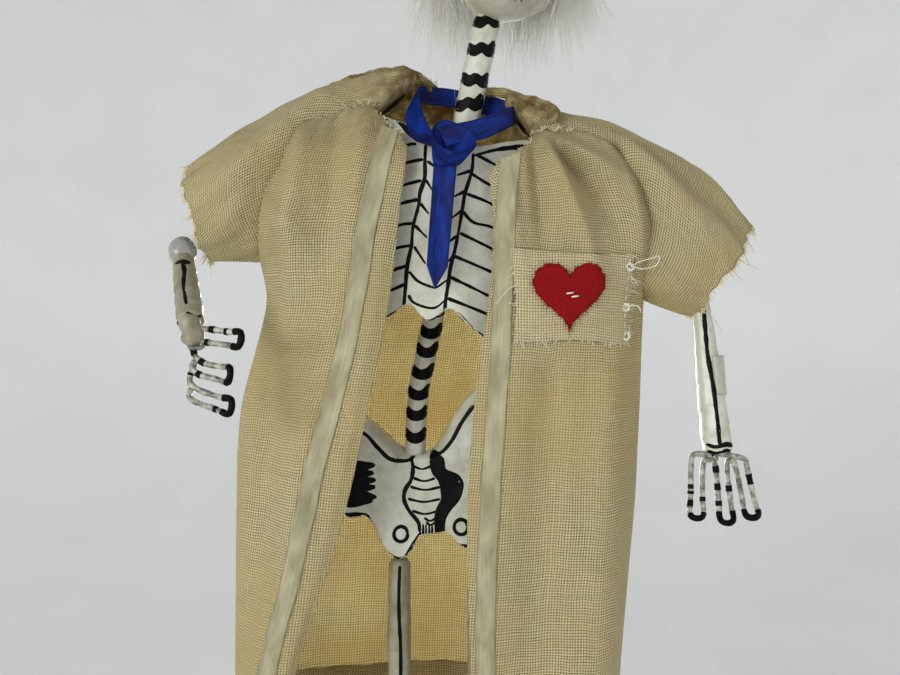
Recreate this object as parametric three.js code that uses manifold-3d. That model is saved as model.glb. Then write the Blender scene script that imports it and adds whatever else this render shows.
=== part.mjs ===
// A folk-art skeleton doctor: painted papier-mache bones on a wire armature, dressed in a
// muslin coat with satin ribbon trim and a ribbon tie, standing on a wooden board.
// Units are millimetres. +Z is up, the figure faces -Y, and its own left side is at +X.
// The origin is the middle of the board's underside.
import * as THREE from "three";
import { mergeVertices } from "three/addons/utils/BufferGeometryUtils.js";
import Module from "manifold-3d";

const wasm = await Module();
wasm.setup();

// ---- Driving dimensions ----
const BOARD = { width: 116, depth: 84, height: 10, corner: 7 };
const WIRE = 0.75; // radius of every armature wire
const BORE = 1.2; // radius of the channel that a wire runs through
const GAP = 0.4; // clearance between pieces that meet
const LEG = { right: -10, left: 15.5, sole: 10.4, ankle: 18, knee: 86, thick: 3.7, kneeRadius: 5.4 };
const PELVIS = { x: -1.6, z: 172, front: -4, thick: 7, bevel: 1, tilt: 0.148, drop: 20.6 };
const RIBS = { x: 2, z: 250, front: -16, thick: 1.6, half: 32, tilt: 0.105 };
const SPINE_RADIUS = 3.5;
const BONE = { arm: 3.2, ball: 4.2 };
const CLOTH = 1;
const RIBBON = { width: 6, thick: 0.6 };
const HEM_Z = 102;
const ARMHOLE_Z = 241; // the side seams are closed below it and open for the arms above it
const HEAD = { x: 23.5, y: 1, z: 339, half: [20, 23, 24.5], tilt: 0.17, bore: 4.1 };

const RIGHT_SHOULDER = new THREE.Vector3(-36, 2, 275);
const RIGHT_ELBOW = new THREE.Vector3(-77.5, -8, 247);
const RIGHT_WRIST = new THREE.Vector3(-67.5, -36, 224);
const LEFT_SHOULDER = new THREE.Vector3(40, 2, 273);
const LEFT_ELBOW = new THREE.Vector3(84, -6, 237);
const LEFT_WRIST = new THREE.Vector3(89, -9, 188);

// The middle line of the spine, from the pelvis up into the skull.
const SPINE = [
  [-5.1, 1, 181], [-5, 1, 190], [-4.1, 1.5, 203], [-1.3, 2.5, 217], [3.2, 3, 240],
  [8, 3, 265], [11.2, 2.5, 285], [13, 2, 302], [16.7, 2, 318],
];

// The coat's shape at each height: where its side seams and its two front edges are, how
// far it stands out in front and behind, and the middle of the ribbon along each edge.
const COAT = [
  // z, right seam, left seam, right edge, left edge, front, back, right ribbon, left ribbon
  [102, -62, 59.5, -45, 12.6, 25, 22, -52, 16],
  [119, -62, 60.5, -40, 12.3, 25, 23, -48.2, 16.7],
  [150, -62, 63.3, -30.5, 11.2, 25, 23, -41, 17.8],
  [169, -61.8, 65, -24.9, 11.2, 25, 23, -36.7, 18.4],
  [185, -61.5, 65.8, -21.2, 12, 25, 22.5, -32.6, 19],
  [200, -60, 66.5, -18.2, 13.2, 25, 22, -28.8, 20],
  [216, -56.5, 67, -14.8, 15.3, 25, 21.5, -25.4, 20.6],
  [231, -54, 68.3, -12, 17.4, 25, 21, -22.5, 21.2],
  [245, -53.4, 69, -10.2, 18.6, 24.5, 20.5, -19.8, 22.2],
  [258, -53, 68, -9, 18.7, 24, 20, -17.3, 22.9],
  [270, -50.5, 64, -7.4, 17.6, 22.5, 18, -15, 24],
  [280, -46, 56, -6.4, 17.5, 19.5, 14, -13.1, 24.8],
  [290, -38, 42, -6.4, 17.5, 12, 10, -11, 25.5],
];

const COLOURS = {
  bone: { color: 0xd8d9cf, roughness: 0.45 },
  wire: { color: 0xb9b8ae, roughness: 0.4, metalness: 0.3 },
  cloth: { color: 0xd9cda2, roughness: 0.95 },
  trim: { color: 0xe6e1c8, roughness: 0.35 },
  blue: { color: 0x0d2f8c, roughness: 0.4 },
  red: { color: 0xa01818, roughness: 0.5 },
  fur: { color: 0xf1efe8, roughness: 0.8 },
  wood: { color: 0x8a5f38, roughness: 0.6 },
};

const figure = new THREE.Group();
const materials = Object.fromEntries(
  Object.entries(COLOURS).map(([name, look]) => [name, new THREE.MeshStandardMaterial(look)]),
);

function add(name, material, geometry) {
  const mesh = new THREE.Mesh(geometry, materials[material]);
  mesh.name = name;
  figure.add(mesh);
  return mesh;
}

const vector = (p) => new THREE.Vector3(...p);
const mix = (a, b, t) => a + (b - a) * t;

// Rises smoothly from 0 to 1 while t goes from one value to another, in either direction.
function smooth(from, to, t) {
  const share = THREE.MathUtils.clamp((t - from) / (to - from), 0, 1);
  return share * share * (3 - 2 * share);
}

// ---- Shape helpers ----

// A point at distance off from the surface point(u, v), along its normal.
function offSurface(point, u, v, off) {
  const step = 1e-3;
  const here = point(u, v);
  const du = point(u + step, v).sub(point(u - step, v));
  const dv = point(u, v + step).sub(point(u, v - step));
  return here.addScaledVector(du.cross(dv).normalize(), off);
}

function bend(geometry, place) {
  const position = geometry.getAttribute("position");
  for (let i = 0; i < position.count; i++) {
    const p = place(new THREE.Vector3().fromBufferAttribute(position, i));
    position.setXYZ(i, p.x, p.y, p.z);
  }
  return geometry;
}

// A closed thin sheet: a flat box bent on to the surface point(u, v).
function sheet(across, along, thick, point) {
  return bend(new THREE.BoxGeometry(1, 1, 1, across, along, 1), (p) =>
    offSurface(point, p.x + 0.5, p.y + 0.5, p.z * thick),
  );
}

// A closed thin band that runs all the way round, u, and along, v.
function band(around, along, thick, point) {
  const rim = [];
  for (let i = 0; i <= along; i++) rim.push(new THREE.Vector2(2, i / along));
  for (let i = along; i >= 0; i--) rim.push(new THREE.Vector2(1, i / along));
  rim.push(rim[0].clone());
  return bend(new THREE.LatheGeometry(rim, around), (p) => {
    const off = (Math.hypot(p.x, p.z) - 1.5) * thick;
    return offSurface(point, Math.atan2(p.x, p.z) / (2 * Math.PI), p.y, off);
  });
}

// A round tube along a curve, with a channel through it when bore is given.
function tube(points, radius, steps, sides = 8, bore = 0) {
  const path = new THREE.CatmullRomCurve3(points.map(vector), false, "centripetal");
  const circle = (r) =>
    Array.from({ length: sides }, (_, i) => {
      const a = (2 * Math.PI * i) / sides;
      return new THREE.Vector2(r * Math.cos(a), r * Math.sin(a));
    });
  const section = new THREE.Shape(circle(radius));
  if (bore) section.holes.push(new THREE.Path(circle(bore)));
  return new THREE.ExtrudeGeometry(section, { steps, extrudePath: path });
}

// A wrapped bone with a channel for its wire, from one point to another. The profile gives
// [share of the length, radius], and the bone stops short of both points by the gaps.
function bone(name, from, to, profile, startGap, endGap) {
  const along = to.clone().sub(from);
  const length = along.length() - startGap - endGap;
  const outline = profile.map(([t, r]) => new THREE.Vector2(r, t * length));
  outline.push(new THREE.Vector2(BORE, length), new THREE.Vector2(BORE, 0), outline[0].clone());
  const mesh = add(name, "bone", new THREE.LatheGeometry(outline, 12));
  along.normalize();
  mesh.position.copy(from).addScaledVector(along, startGap);
  mesh.quaternion.setFromUnitVectors(new THREE.Vector3(0, 1, 0), along);
  return mesh;
}

// The same geometry as a solid that manifold-3d can cut.
function solid(geometry) {
  const plain = geometry.clone();
  plain.deleteAttribute("normal");
  plain.deleteAttribute("uv");
  const merged = mergeVertices(plain, 1e-3);
  const corners = [];
  for (let i = 0; i < merged.index.count; i += 3) {
    const [a, b, c] = merged.index.array.slice(i, i + 3);
    if (a !== b && b !== c && c !== a) corners.push(a, b, c);
  }
  return new wasm.Manifold(
    new wasm.Mesh({
      numProp: 3,
      vertProperties: merged.getAttribute("position").array,
      triVerts: new Uint32Array(corners),
    }),
  );
}

function cut(geometry, ...tools) {
  const made = tools.reduce((left, tool) => left.subtract(solid(tool)), solid(geometry)).getMesh();
  return new THREE.BufferGeometry()
    .setAttribute("position", new THREE.BufferAttribute(made.vertProperties, 3))
    .setIndex(new THREE.BufferAttribute(made.triVerts, 1));
}

// A rod between two points, for cutting channels.
function rod(from, to, radius, sides = 12) {
  return tube([from.toArray(), to.toArray()], radius, 1, sides);
}

// A smooth reading of one column of the coat table at height z.
function coatAt(column, z) {
  const last = COAT.length - 1;
  let i = COAT.findIndex((row) => row[0] > z) - 1;
  if (i === -2) i = last - 1;
  i = Math.max(0, i);
  const t = (z - COAT[i][0]) / (COAT[i + 1][0] - COAT[i][0]);
  const value = (k) => COAT[THREE.MathUtils.clamp(k, 0, last)][column];
  const [a, b, c, d] = [value(i - 1), value(i), value(i + 1), value(i + 2)];
  return b + 0.5 * t * (c - a + t * (2 * a - 5 * b + 4 * c - d + t * (3 * (b - c) + d - a)));
}

// A point on a coat front: s is 0 at the side seam and 1 at the front edge.
function coatFront(side, s, z, off = 0) {
  const seam = coatAt(side === "right" ? 1 : 2, z);
  const edge = coatAt(side === "right" ? 3 : 4, z);
  const turn = (s * Math.PI) / 2;
  const start = CLOTH / 2 + GAP;
  const x = seam + (edge - seam) * (1 - Math.cos(turn));
  const y = -start - (coatAt(5, z) - start) * Math.sin(turn);
  return new THREE.Vector3(x, y - off, z);
}

// The same, with s found from x, for what is sewn on to the coat fronts.
function coatFrontAtX(side, x, z, off) {
  const seam = coatAt(side === "right" ? 1 : 2, z);
  const edge = coatAt(side === "right" ? 3 : 4, z);
  const s = (2 / Math.PI) * Math.acos(THREE.MathUtils.clamp(1 - (x - seam) / (edge - seam), 0, 1));
  return coatFront(side, s, z, off);
}

// ---- Board and legs ----
function roundedRectangle(width, depth, corner) {
  const [w, d] = [width / 2, depth / 2];
  const shape = new THREE.Shape();
  shape.absarc(w - corner, d - corner, corner, 0, Math.PI / 2);
  shape.absarc(corner - w, d - corner, corner, Math.PI / 2, Math.PI);
  shape.absarc(corner - w, corner - d, corner, Math.PI, 1.5 * Math.PI);
  shape.absarc(w - corner, corner - d, corner, 1.5 * Math.PI, 2 * Math.PI);
  return shape;
}

function board() {
  const outline = roundedRectangle(BOARD.width, BOARD.depth, BOARD.corner);
  for (const x of [LEG.right, LEG.left]) {
    const hole = new THREE.Path();
    hole.absarc(x, 0, BORE, 0, 2 * Math.PI);
    outline.holes.push(hole);
  }
  const options = { depth: BOARD.height, bevelEnabled: false, curveSegments: 6 };
  add("base_board", "wood", new THREE.ExtrudeGeometry(outline, options));
}

function foot(name, x) {
  const form = bend(new THREE.SphereGeometry(1, 16, 12), (p) => {
    const toe = THREE.MathUtils.clamp(-p.y, 0, 1);
    const long = p.y < 0 ? 19 : 7;
    return new THREE.Vector3(x + mix(5, 6.4, toe) * p.x, long * p.y, LEG.sole + mix(7.6, 4.6, toe) * p.z);
  });
  const channel = rod(new THREE.Vector3(x, 0, LEG.sole - 12), new THREE.Vector3(x, 0, LEG.ankle + 9), BORE);
  const below = new THREE.BoxGeometry(40, 60, 20).translate(x, 0, LEG.sole - 10);
  add(name, "bone", cut(form, channel, below));
}

// The lowest point of the pelvis's wing above each leg.
const hipZ = (x) => PELVIS.z - PELVIS.drop + PELVIS.tilt * (x - PELVIS.x);

function leg(side, x) {
  const at = (z) => new THREE.Vector3(x, 0, z);
  const hip = hipZ(x);
  foot(`foot_${side}`, x);
  const bead = LEG.kneeRadius * 0.85;
  const shin = [[0, 3], [0.12, 3.4], [0.5, LEG.thick], [0.9, 3.6], [1, 3.2]];
  const thigh = [[0, 3.2], [0.1, 3.6], [0.5, LEG.thick], [0.9, 3.7], [1, 3.4]];
  bone(`shin_${side}`, at(LEG.ankle + 0.6), at(LEG.knee), shin, 0, bead + GAP);
  const knee = [[0, 3.2], [0.25, 4.8], [0.5, LEG.kneeRadius], [0.75, 4.8], [1, 3.2]];
  bone(`knee_${side}`, at(LEG.knee - bead), at(LEG.knee + bead), knee, 0, 0);
  bone(`thigh_${side}`, at(LEG.knee), at(hip), thigh, bead + GAP, 1.4);
  add(`leg_wire_${side}`, "wire", tube([[x, 0, 1], [x, 0, 80], [x, 0, hip + 5]], WIRE, 3));
}

// ---- Trunk ----
// A butterfly-shaped plate, tilted as it hangs, with channels for the spine and leg wires.
function pelvis() {
  const half = [
    [7, 10], [10.2, 14], [14.4, 19.5], [19.5, 25], [26, 29.5], [31.5, 28], [33, 18],
    [30, 5], [26, -4.5], [20.5, -5.2], [18, -8], [16, -15], [13.6, -19.6], [11.2, -20.6],
    [8, -19.2], [4.6, -14.6],
  ];
  const outline = new THREE.Shape();
  outline.moveTo(0, 9.6);
  outline.splineThru(half.map((p) => new THREE.Vector2(...p)));
  outline.lineTo(-half.at(-1)[0], half.at(-1)[1]);
  outline.splineThru(half.toReversed().slice(1).map(([x, z]) => new THREE.Vector2(-x, z)));
  const options = {
    depth: PELVIS.thick - 2 * PELVIS.bevel, bevelSize: PELVIS.bevel / 2,
    bevelThickness: PELVIS.bevel, bevelSegments: 1, curveSegments: 2,
  };
  const plate = new THREE.ExtrudeGeometry(outline, options);
  plate.rotateX(Math.PI / 2);
  plate.rotateY(-PELVIS.tilt);
  plate.translate(PELVIS.x, PELVIS.front + PELVIS.thick - PELVIS.bevel, PELVIS.z);
  const holes = [LEG.right, LEG.left].map((x) =>
    rod(new THREE.Vector3(x, 0, hipZ(x) - 6), new THREE.Vector3(x, 0, hipZ(x) + 6.5), BORE),
  );
  const [end, next] = SPINE.map(vector);
  const socket = rod(end.clone().setZ(end.z - 0.8), next.setZ(next.z + 8), SPINE_RADIUS + GAP);
  add("pelvis", "bone", cut(plate, ...holes, socket));
}

// The lower edge of the ribcage dips at the breastbone and falls away to both sides.
function ribsBottom(u) {
  const away = Math.abs(u);
  return away < 6.5 ? mix(-25.4, -20.5, away / 6.5) : -20.5 - 0.74 * (away - 6.5);
}

// A point on the ribcage's middle surface: u is across it and w up it, in millimetres.
function ribsPoint(u, w) {
  const [c, s] = [Math.cos(RIBS.tilt), Math.sin(RIBS.tilt)];
  const y = RIBS.front + 9 * (u / RIBS.half) ** 2 + 3.5 * smooth(20, 38, w);
  return new THREE.Vector3(RIBS.x + c * u + s * w, y, RIBS.z - s * u + c * w);
}

function ribcage() {
  const point = (a, b) => {
    const u = mix(-RIBS.half, RIBS.half, a);
    const top = mix(27, 36, smooth(14, 24, Math.abs(u))) - 0.006 * u * u;
    return ribsPoint(u, mix(ribsBottom(u), top, b));
  };
  add("ribcage", "bone", sheet(16, 8, RIBS.thick, point));
}

// The lump of papier-mache that joins the ribcage to the spine.
function chestBlock() {
  const block = bend(new THREE.BoxGeometry(1, 1, 1, 2, 1, 2), (p) => {
    const w = mix(0, 24, p.z + 0.5);
    const front = ribsPoint(p.x * 18, w);
    const back = mix(SPINE[5][1], front.y, 0);
    return front.setY(mix(back - SPINE_RADIUS - 1, front.y + RIBS.thick / 2 + GAP, 0.5 - p.y));
  });
  add("chest_block", "bone", block);
}

function trunk() {
  pelvis();
  add("spine", "bone", tube(SPINE, SPINE_RADIUS, 16, 8, BORE));
  add("spine_wire", "wire", tube([...SPINE, [18.7, 2, 325]], WIRE, 18));
  ribcage();
  chestBlock();
  const [right, left] = [RIGHT_SHOULDER, LEFT_SHOULDER];
  const bow = [[-12, 5.6], [8.5, 7.9], [26, 5.6]].map(([x, y]) => [x, y, 274]);
  const ends = (p, side) => [[p.x + side * 5, p.y, p.z], [p.x, p.y, p.z], [p.x - side * 6, p.y, p.z]];
  const path = [...ends(right, -1), ...bow, ...ends(left, 1).reverse()];
  add("shoulder_wire", "wire", tube(path, WIRE, 22));
}

// ---- Arms ----
// A wire that turns once round the shoulder wire and then runs down inside the upper arm.
function upperArmWire(from, to) {
  const outward = Math.sign(to.x - from.x);
  const [turns, start, end, round] = [8, -2.6, 2.3, 2];
  const eye = Array.from({ length: turns + 1 }, (_, i) => {
    const a = mix(start, end, i / turns);
    return [from.x + (outward * i) / turns, from.y + round * Math.sin(a), from.z + round * Math.cos(a)];
  });
  const rest = [0.13, 0.17, 0.5, 0.9].map((t) => from.clone().lerp(to, t).toArray());
  return tube([...eye, ...rest], WIRE, 26, 6);
}

// A wire that runs down inside the forearm and ends in a hook, whose points are given
// from the wrist.
function forearmWire(from, to, hook) {
  const inside = [0.16, 0.6, 0.96, 1].map((t) => from.clone().lerp(to, t).toArray());
  return tube([...inside, ...hook.map((p) => to.clone().add(vector(p)).toArray())], WIRE, 24, 6);
}

// A hand bent from one wire: three long loops for fingers, joined by short bars. across
// runs along the bars, down along the fingers, and out is where the finger tips turn.
function handWire(origin, across, down, out, fingers) {
  const at = (a, d, o = 0) =>
    origin.clone().addScaledVector(across, a).addScaledVector(down, d).addScaledVector(out, o).toArray();
  const half = 1.6;
  const path = [at(fingers[0].at - half - 1.6, -0.4)];
  for (const { at: a, long, splay } of fingers) {
    const [middle, tip] = [a + 0.7 * splay, a + splay];
    path.push(at(a - half - 0.5, 0.2), at(a - half, 2.6), at(middle - half, long * 0.7));
    path.push(at(tip - half - 0.3, long * 0.93, 1.6), at(tip - half * 0.6, long, 3.4));
    path.push(at(tip + half * 0.6, long, 3.4), at(tip + half + 0.3, long * 0.93, 1.6));
    path.push(at(middle + half, long * 0.7), at(a + half, 2.6), at(a + half + 0.5, 0.2));
  }
  return tube(path, WIRE, 66, 6);
}

function sleeve(name, inner, cuff) {
  add(name, "cloth", band(20, 5, CLOTH, (u, v) => {
    const turn = 2 * Math.PI * u;
    const centre = inner.centre.map((c, k) => mix(c, cuff.centre[k], v));
    const high = inner.high.map((c, k) => mix(c, cuff.high[k], v));
    const deep = mix(inner.deep, cuff.deep, v);
    const sign = cuff.centre[0] > 0 ? 1 : -1;
    return new THREE.Vector3(
      centre[0] + high[0] * Math.cos(turn),
      centre[1] - sign * deep * Math.sin(turn),
      centre[2] + high[2] * Math.cos(turn),
    );
  }));
}

function arm(side, shoulder, elbow, wrist) {
  const upper = [[0, 2.4], [0.1, 3], [0.8, BONE.arm], [1, 2.8]];
  const fore = [[0, 2.8], [0.1, 3.3], [0.5, 3.4], [0.75, 4], [1, 4.2]];
  bone(`upper_arm_${side}`, shoulder, elbow, upper, 9.5, BONE.ball + GAP);
  add(`upper_arm_wire_${side}`, "wire", upperArmWire(shoulder, elbow));
  const ball = add(`elbow_${side}`, "bone", new THREE.SphereGeometry(BONE.ball, 12, 8));
  ball.position.copy(elbow);
  bone(`forearm_${side}`, elbow, wrist, fore, BONE.ball + GAP, 0);
}

function rightHand() {
  const hook = [[0.3, -1.9, -3.2], [0.4, -3.7, -6], [2.1, -5.5, -6.9], [3.8, -4.7, -6.8], [3.9, -2.9, -6.6]];
  add("forearm_wire_right", "wire", forearmWire(RIGHT_ELBOW, RIGHT_WRIST, hook));
  const bar = RIGHT_WRIST.clone().add(vector([2.1, -3.2, -6.8]));
  const across = vector([-0.12, 0, -1]).normalize();
  const down = vector([0.95, -0.25, -0.16]).normalize();
  add("hand_wire_right", "wire", handWire(bar, across, down, vector([0.1, -0.4, 0.1]), [
    { at: -3.8, long: 13.4, splay: -0.4 },
    { at: 5.6, long: 11.4, splay: 0.4 },
    { at: 13.4, long: 13, splay: 1.2 },
  ]));
}

function leftHand() {
  const hook = [[-0.4, -1.6, -1.8], [-0.8, -2.5, -3.8], [-0.8, -1.6, -5.8], [-0.8, 0.4, -6.3], [-0.8, 1.9, -4.9]];
  add("forearm_wire_left", "wire", forearmWire(LEFT_ELBOW, LEFT_WRIST, hook));
  const bar = LEFT_WRIST.clone().add(vector([-0.8, -0.4, -4.1]));
  const across = vector([1, 0, -0.05]).normalize();
  add("hand_wire_left", "wire", handWire(bar, across, vector([0.05, 0, -1]), vector([-0.2, -1, 0]), [
    { at: -4, long: 19, splay: -1 },
    { at: 3.4, long: 20, splay: 0.8 },
    { at: 9.6, long: 18, splay: 2.4 },
  ]));
}

function arms() {
  arm("right", RIGHT_SHOULDER, RIGHT_ELBOW, RIGHT_WRIST);
  arm("left", LEFT_SHOULDER, LEFT_ELBOW, LEFT_WRIST);
  rightHand();
  leftHand();
  sleeve(
    "sleeve_right",
    { centre: [-55.6, -1, 268], high: [0, 0, 22], deep: 14 },
    { centre: [-75.6, -2, 260], high: [-4.3, 0, 15], deep: 14.5 },
  );
  sleeve(
    "sleeve_left",
    { centre: [71, -1, 260], high: [0, 0, 25], deep: 14 },
    { centre: [90, -2, 242], high: [11, 0, 13.5], deep: 15 },
  );
}

// ---- Coat ----
// Each front is open for the arm above ARMHOLE_Z, and its top edge climbs to the shoulder.
const FRONTS = {
  right: { armhole: 0.3, edgeTop: 277, ribbonTop: 279 },
  left: { armhole: 0.47, edgeTop: 270, ribbonTop: 273 },
};

function coatFrontPanel(side) {
  const { armhole, edgeTop, ribbonTop } = FRONTS[side];
  const panel = (u, v) => {
    const share = side === "right" ? u : 1 - u;
    const z = mix(HEM_Z, mix(287, edgeTop, smooth(0.3, 1, share)), v);
    const from = armhole * smooth(ARMHOLE_Z - 5, ARMHOLE_Z + 5, z);
    return coatFront(side, mix(from, 1, share), z);
  };
  add(`coat_front_${side}`, "cloth", sheet(10, 16, CLOTH, panel));
  const strip = (u, v) => {
    const z = mix(HEM_Z + 1, ribbonTop, v);
    const x = coatAt(side === "right" ? 7 : 8, z) + (u - 0.5) * RIBBON.width;
    return coatFrontAtX(side, x, z, CLOTH / 2 + RIBBON.thick / 2 + GAP + 0.2);
  };
  add(`trim_ribbon_${side}`, "trim", sheet(2, 16, RIBBON.thick, strip));
}

function coatBack() {
  add("coat_back", "cloth", sheet(16, 14, CLOTH, (u, v) => {
    const z = mix(HEM_Z, 290, v);
    const armhole = 0.6 * smooth(ARMHOLE_Z - 5, ARMHOLE_Z + 5, z);
    const turn = mix(Math.PI - armhole, armhole, u);
    const [right, left] = [coatAt(1, z), coatAt(2, z)];
    const start = CLOTH / 2 + GAP;
    const x = (right + left) / 2 - ((left - right) / 2) * Math.cos(Math.PI - turn);
    return new THREE.Vector3(x, start + (coatAt(6, z) - start) * Math.sin(turn), z);
  }));
}

const POCKET = { low: 219.5, high: 245.5, near: 25.9, far: 61.3, thick: 0.8 };
const HEART = { x: 41, z: 232.5, size: 11.5, thick: 0.8 };

function pocketAndHeart() {
  const off = CLOTH / 2 + GAP + POCKET.thick / 2 + 0.3;
  add("pocket", "cloth", sheet(8, 6, POCKET.thick, (u, v) =>
    coatFrontAtX("left", mix(POCKET.near, POCKET.far, u), mix(POCKET.low, POCKET.high, v), off)));
  const r = HEART.size;
  const heart = new THREE.Shape();
  heart.moveTo(0, -r);
  heart.bezierCurveTo(-0.35 * r, -0.6 * r, -r, -0.2 * r, -r, 0.3 * r);
  heart.bezierCurveTo(-r, 0.95 * r, -0.2 * r, r, 0, 0.5 * r);
  heart.bezierCurveTo(0.2 * r, r, r, 0.95 * r, r, 0.3 * r);
  heart.bezierCurveTo(r, -0.2 * r, 0.35 * r, -0.6 * r, 0, -r);
  const options = { depth: HEART.thick, bevelEnabled: false, curveSegments: 6 };
  const face = off + POCKET.thick / 2 + GAP + 0.2;
  add("ribbon_heart", "red", bend(new THREE.ExtrudeGeometry(heart, options), (p) =>
    coatFrontAtX("left", HEART.x + p.x, HEART.z + p.y, face + p.z)));
}

// ---- Tie ----
const LOOP = { x: 9.4, y: -5, z: 288.5, wide: 16.6, deep: 16, slope: 0.68 };
const KNOT = { x: 6.9, y: -24.2, z: 276.5, wide: 13.5, high: 11.5, thick: 4.4 };
const BLADE = { x: 5, y: -24, z: 269.6, drop: 36, lean: 0.1 };

function tie() {
  const half = RIBBON.width / 2;
  add("tie_loop", "blue", band(24, 2, RIBBON.thick, (u, v) => {
    const turn = 2 * Math.PI * u;
    const y = -LOOP.deep * Math.cos(turn);
    const z = LOOP.z + LOOP.slope * y + mix(-half, half, v);
    return new THREE.Vector3(LOOP.x + LOOP.wide * Math.sin(turn), LOOP.y + y, z);
  }));
  const knot = bend(new THREE.SphereGeometry(1, 12, 8), (p) => {
    const wide = (KNOT.wide / 2) * mix(0.62, 1, smooth(-1, 0.3, p.z));
    return new THREE.Vector3(
      KNOT.x + wide * p.x, KNOT.y + (KNOT.thick / 2) * p.y, KNOT.z + (KNOT.high / 2) * p.z,
    );
  });
  add("tie_knot", "blue", knot);
  const blade = new THREE.Shape();
  blade.moveTo(half, 0);
  blade.lineTo(half - 0.3, 6 - BLADE.drop);
  blade.lineTo(0, -BLADE.drop);
  blade.lineTo(0.3 - half, 6 - BLADE.drop);
  blade.lineTo(-half, 0);
  const strip = new THREE.ExtrudeGeometry(blade, { depth: RIBBON.thick, bevelEnabled: false });
  strip.rotateX(Math.PI / 2);
  const mesh = add("tie_blade", "blue", strip);
  mesh.position.set(BLADE.x, BLADE.y, BLADE.z);
  mesh.rotation.y = BLADE.lean;
}

// ---- Head ----
// A point of the unit ball, p, carried on to the skull, which is round above and narrow
// below. The head leans to its left.
function skullPoint(p, grow = 0) {
  const low = smooth(-0.05, -0.9, p.z);
  const wide = (HEAD.half[0] + grow) * (1 - 0.3 * low);
  const back = p.y > 0 ? 1 - 0.5 * low : 1 - 0.12 * low;
  const local = new THREE.Vector3(
    p.x * wide, p.y * (HEAD.half[1] + grow) * back, p.z * (HEAD.half[2] + grow),
  );
  return lean(local);
}

function lean(local) {
  return local.applyAxisAngle(new THREE.Vector3(0, 1, 0), HEAD.tilt).add(vector([HEAD.x, HEAD.y, HEAD.z]));
}

function skull() {
  const form = bend(new THREE.SphereGeometry(1, 20, 14).rotateX(Math.PI / 2), (p) => skullPoint(p));
  const [below, neck] = SPINE.slice(-2).map(vector);
  const up = neck.clone().sub(below).normalize();
  const socket = rod(neck.clone().addScaledVector(up, -16), neck.clone().addScaledVector(up, 0.8), HEAD.bore);
  const pin = rod(neck.clone(), neck.clone().addScaledVector(up, 9), BORE);
  add("skull", "bone", cut(form, socket, pin));
}

// A tuft of fur glued round the skull between two angles, in radians from the face. Its
// upper part lies on the skull and its lower part hangs.
function tuft(name, from, to, columns) {
  const hang = { from: -0.45, wide: 25.5, deep: 26.5, drop: 27 };
  add(name, "fur", sheet(columns, 7, 4.2, (u, v) => {
    const turn = mix(from, to, u);
    const high = mix(-1, 0.4, v);
    const held = Math.max(high, hang.from);
    const round = Math.sqrt(1 - held * held);
    const on = skullPoint(new THREE.Vector3(-Math.sin(turn) * round, -Math.cos(turn) * round, held), 3.6);
    const spread = smooth(0.3, hang.from, high);
    on.x = mix(on.x, HEAD.x - hang.wide * Math.sin(turn), spread);
    on.y = mix(on.y, HEAD.y - hang.deep * Math.cos(turn), spread);
    on.z -= hang.drop * Math.max(0, hang.from - high);
    return on;
  }));
}

function head() {
  skull();
  const ear = 1.15, nape = 2.2, seam = 0.02, round = 2 * Math.PI;
  tuft("hair_right", nape - seam, ear, 6);
  tuft("hair_back", round - nape - seam, nape + seam, 8);
  tuft("hair_left", round - ear, round - nape + seam, 6);
}

board();
leg("right", LEG.right);
leg("left", LEG.left);
trunk();
arms();
coatFrontPanel("right");
coatFrontPanel("left");
coatBack();
pocketAndHeart();
tie();
head();

export default figure;
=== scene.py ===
"""A folk-art skeleton doctor: painted papier-mache bones in a muslin coat, built on its CAD frame."""

import bpy
import numpy as np
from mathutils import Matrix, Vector
from mathutils.bvhtree import BVHTree


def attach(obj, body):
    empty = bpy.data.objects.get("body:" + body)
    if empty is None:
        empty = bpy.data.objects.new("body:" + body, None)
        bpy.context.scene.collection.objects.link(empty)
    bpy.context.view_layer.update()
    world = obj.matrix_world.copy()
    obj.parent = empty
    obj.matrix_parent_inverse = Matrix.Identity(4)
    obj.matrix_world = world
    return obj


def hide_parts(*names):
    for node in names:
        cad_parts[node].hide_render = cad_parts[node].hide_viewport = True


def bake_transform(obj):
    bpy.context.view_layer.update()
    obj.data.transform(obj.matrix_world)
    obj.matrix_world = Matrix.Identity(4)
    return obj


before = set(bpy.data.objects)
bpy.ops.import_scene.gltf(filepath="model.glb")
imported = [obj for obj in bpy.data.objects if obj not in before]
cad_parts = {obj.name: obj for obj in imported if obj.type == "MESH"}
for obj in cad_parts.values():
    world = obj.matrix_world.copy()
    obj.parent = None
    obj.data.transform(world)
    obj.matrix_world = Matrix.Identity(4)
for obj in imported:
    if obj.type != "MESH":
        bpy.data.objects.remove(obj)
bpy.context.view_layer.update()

MM = 0.001  # shapes below are worked out in millimetres
ROOT = "figure"


# ---- Camera, light and stage ----
def camera():
    data = bpy.data.cameras.new("camera")
    data.sensor_width = 36
    data.lens = 40
    data.clip_start = 0.01
    view = bpy.data.objects.new("camera", data)
    view.location = (0.006, -0.320, 0.220)
    view.rotation_euler = (np.pi / 2, 0, 0)
    bpy.context.scene.collection.objects.link(view)
    bpy.context.scene.camera = view


def area_light(name, place, aim, size, power, spread):
    data = bpy.data.lights.new(name, "AREA")
    data.size = size
    data.energy = power
    data.spread = spread
    light = bpy.data.objects.new(name, data)
    light.location = place
    light.rotation_euler = (Vector(aim) - Vector(place)).to_track_quat("-Z", "Y").to_euler()
    light.visible_camera = False
    bpy.context.scene.collection.objects.link(light)


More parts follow.
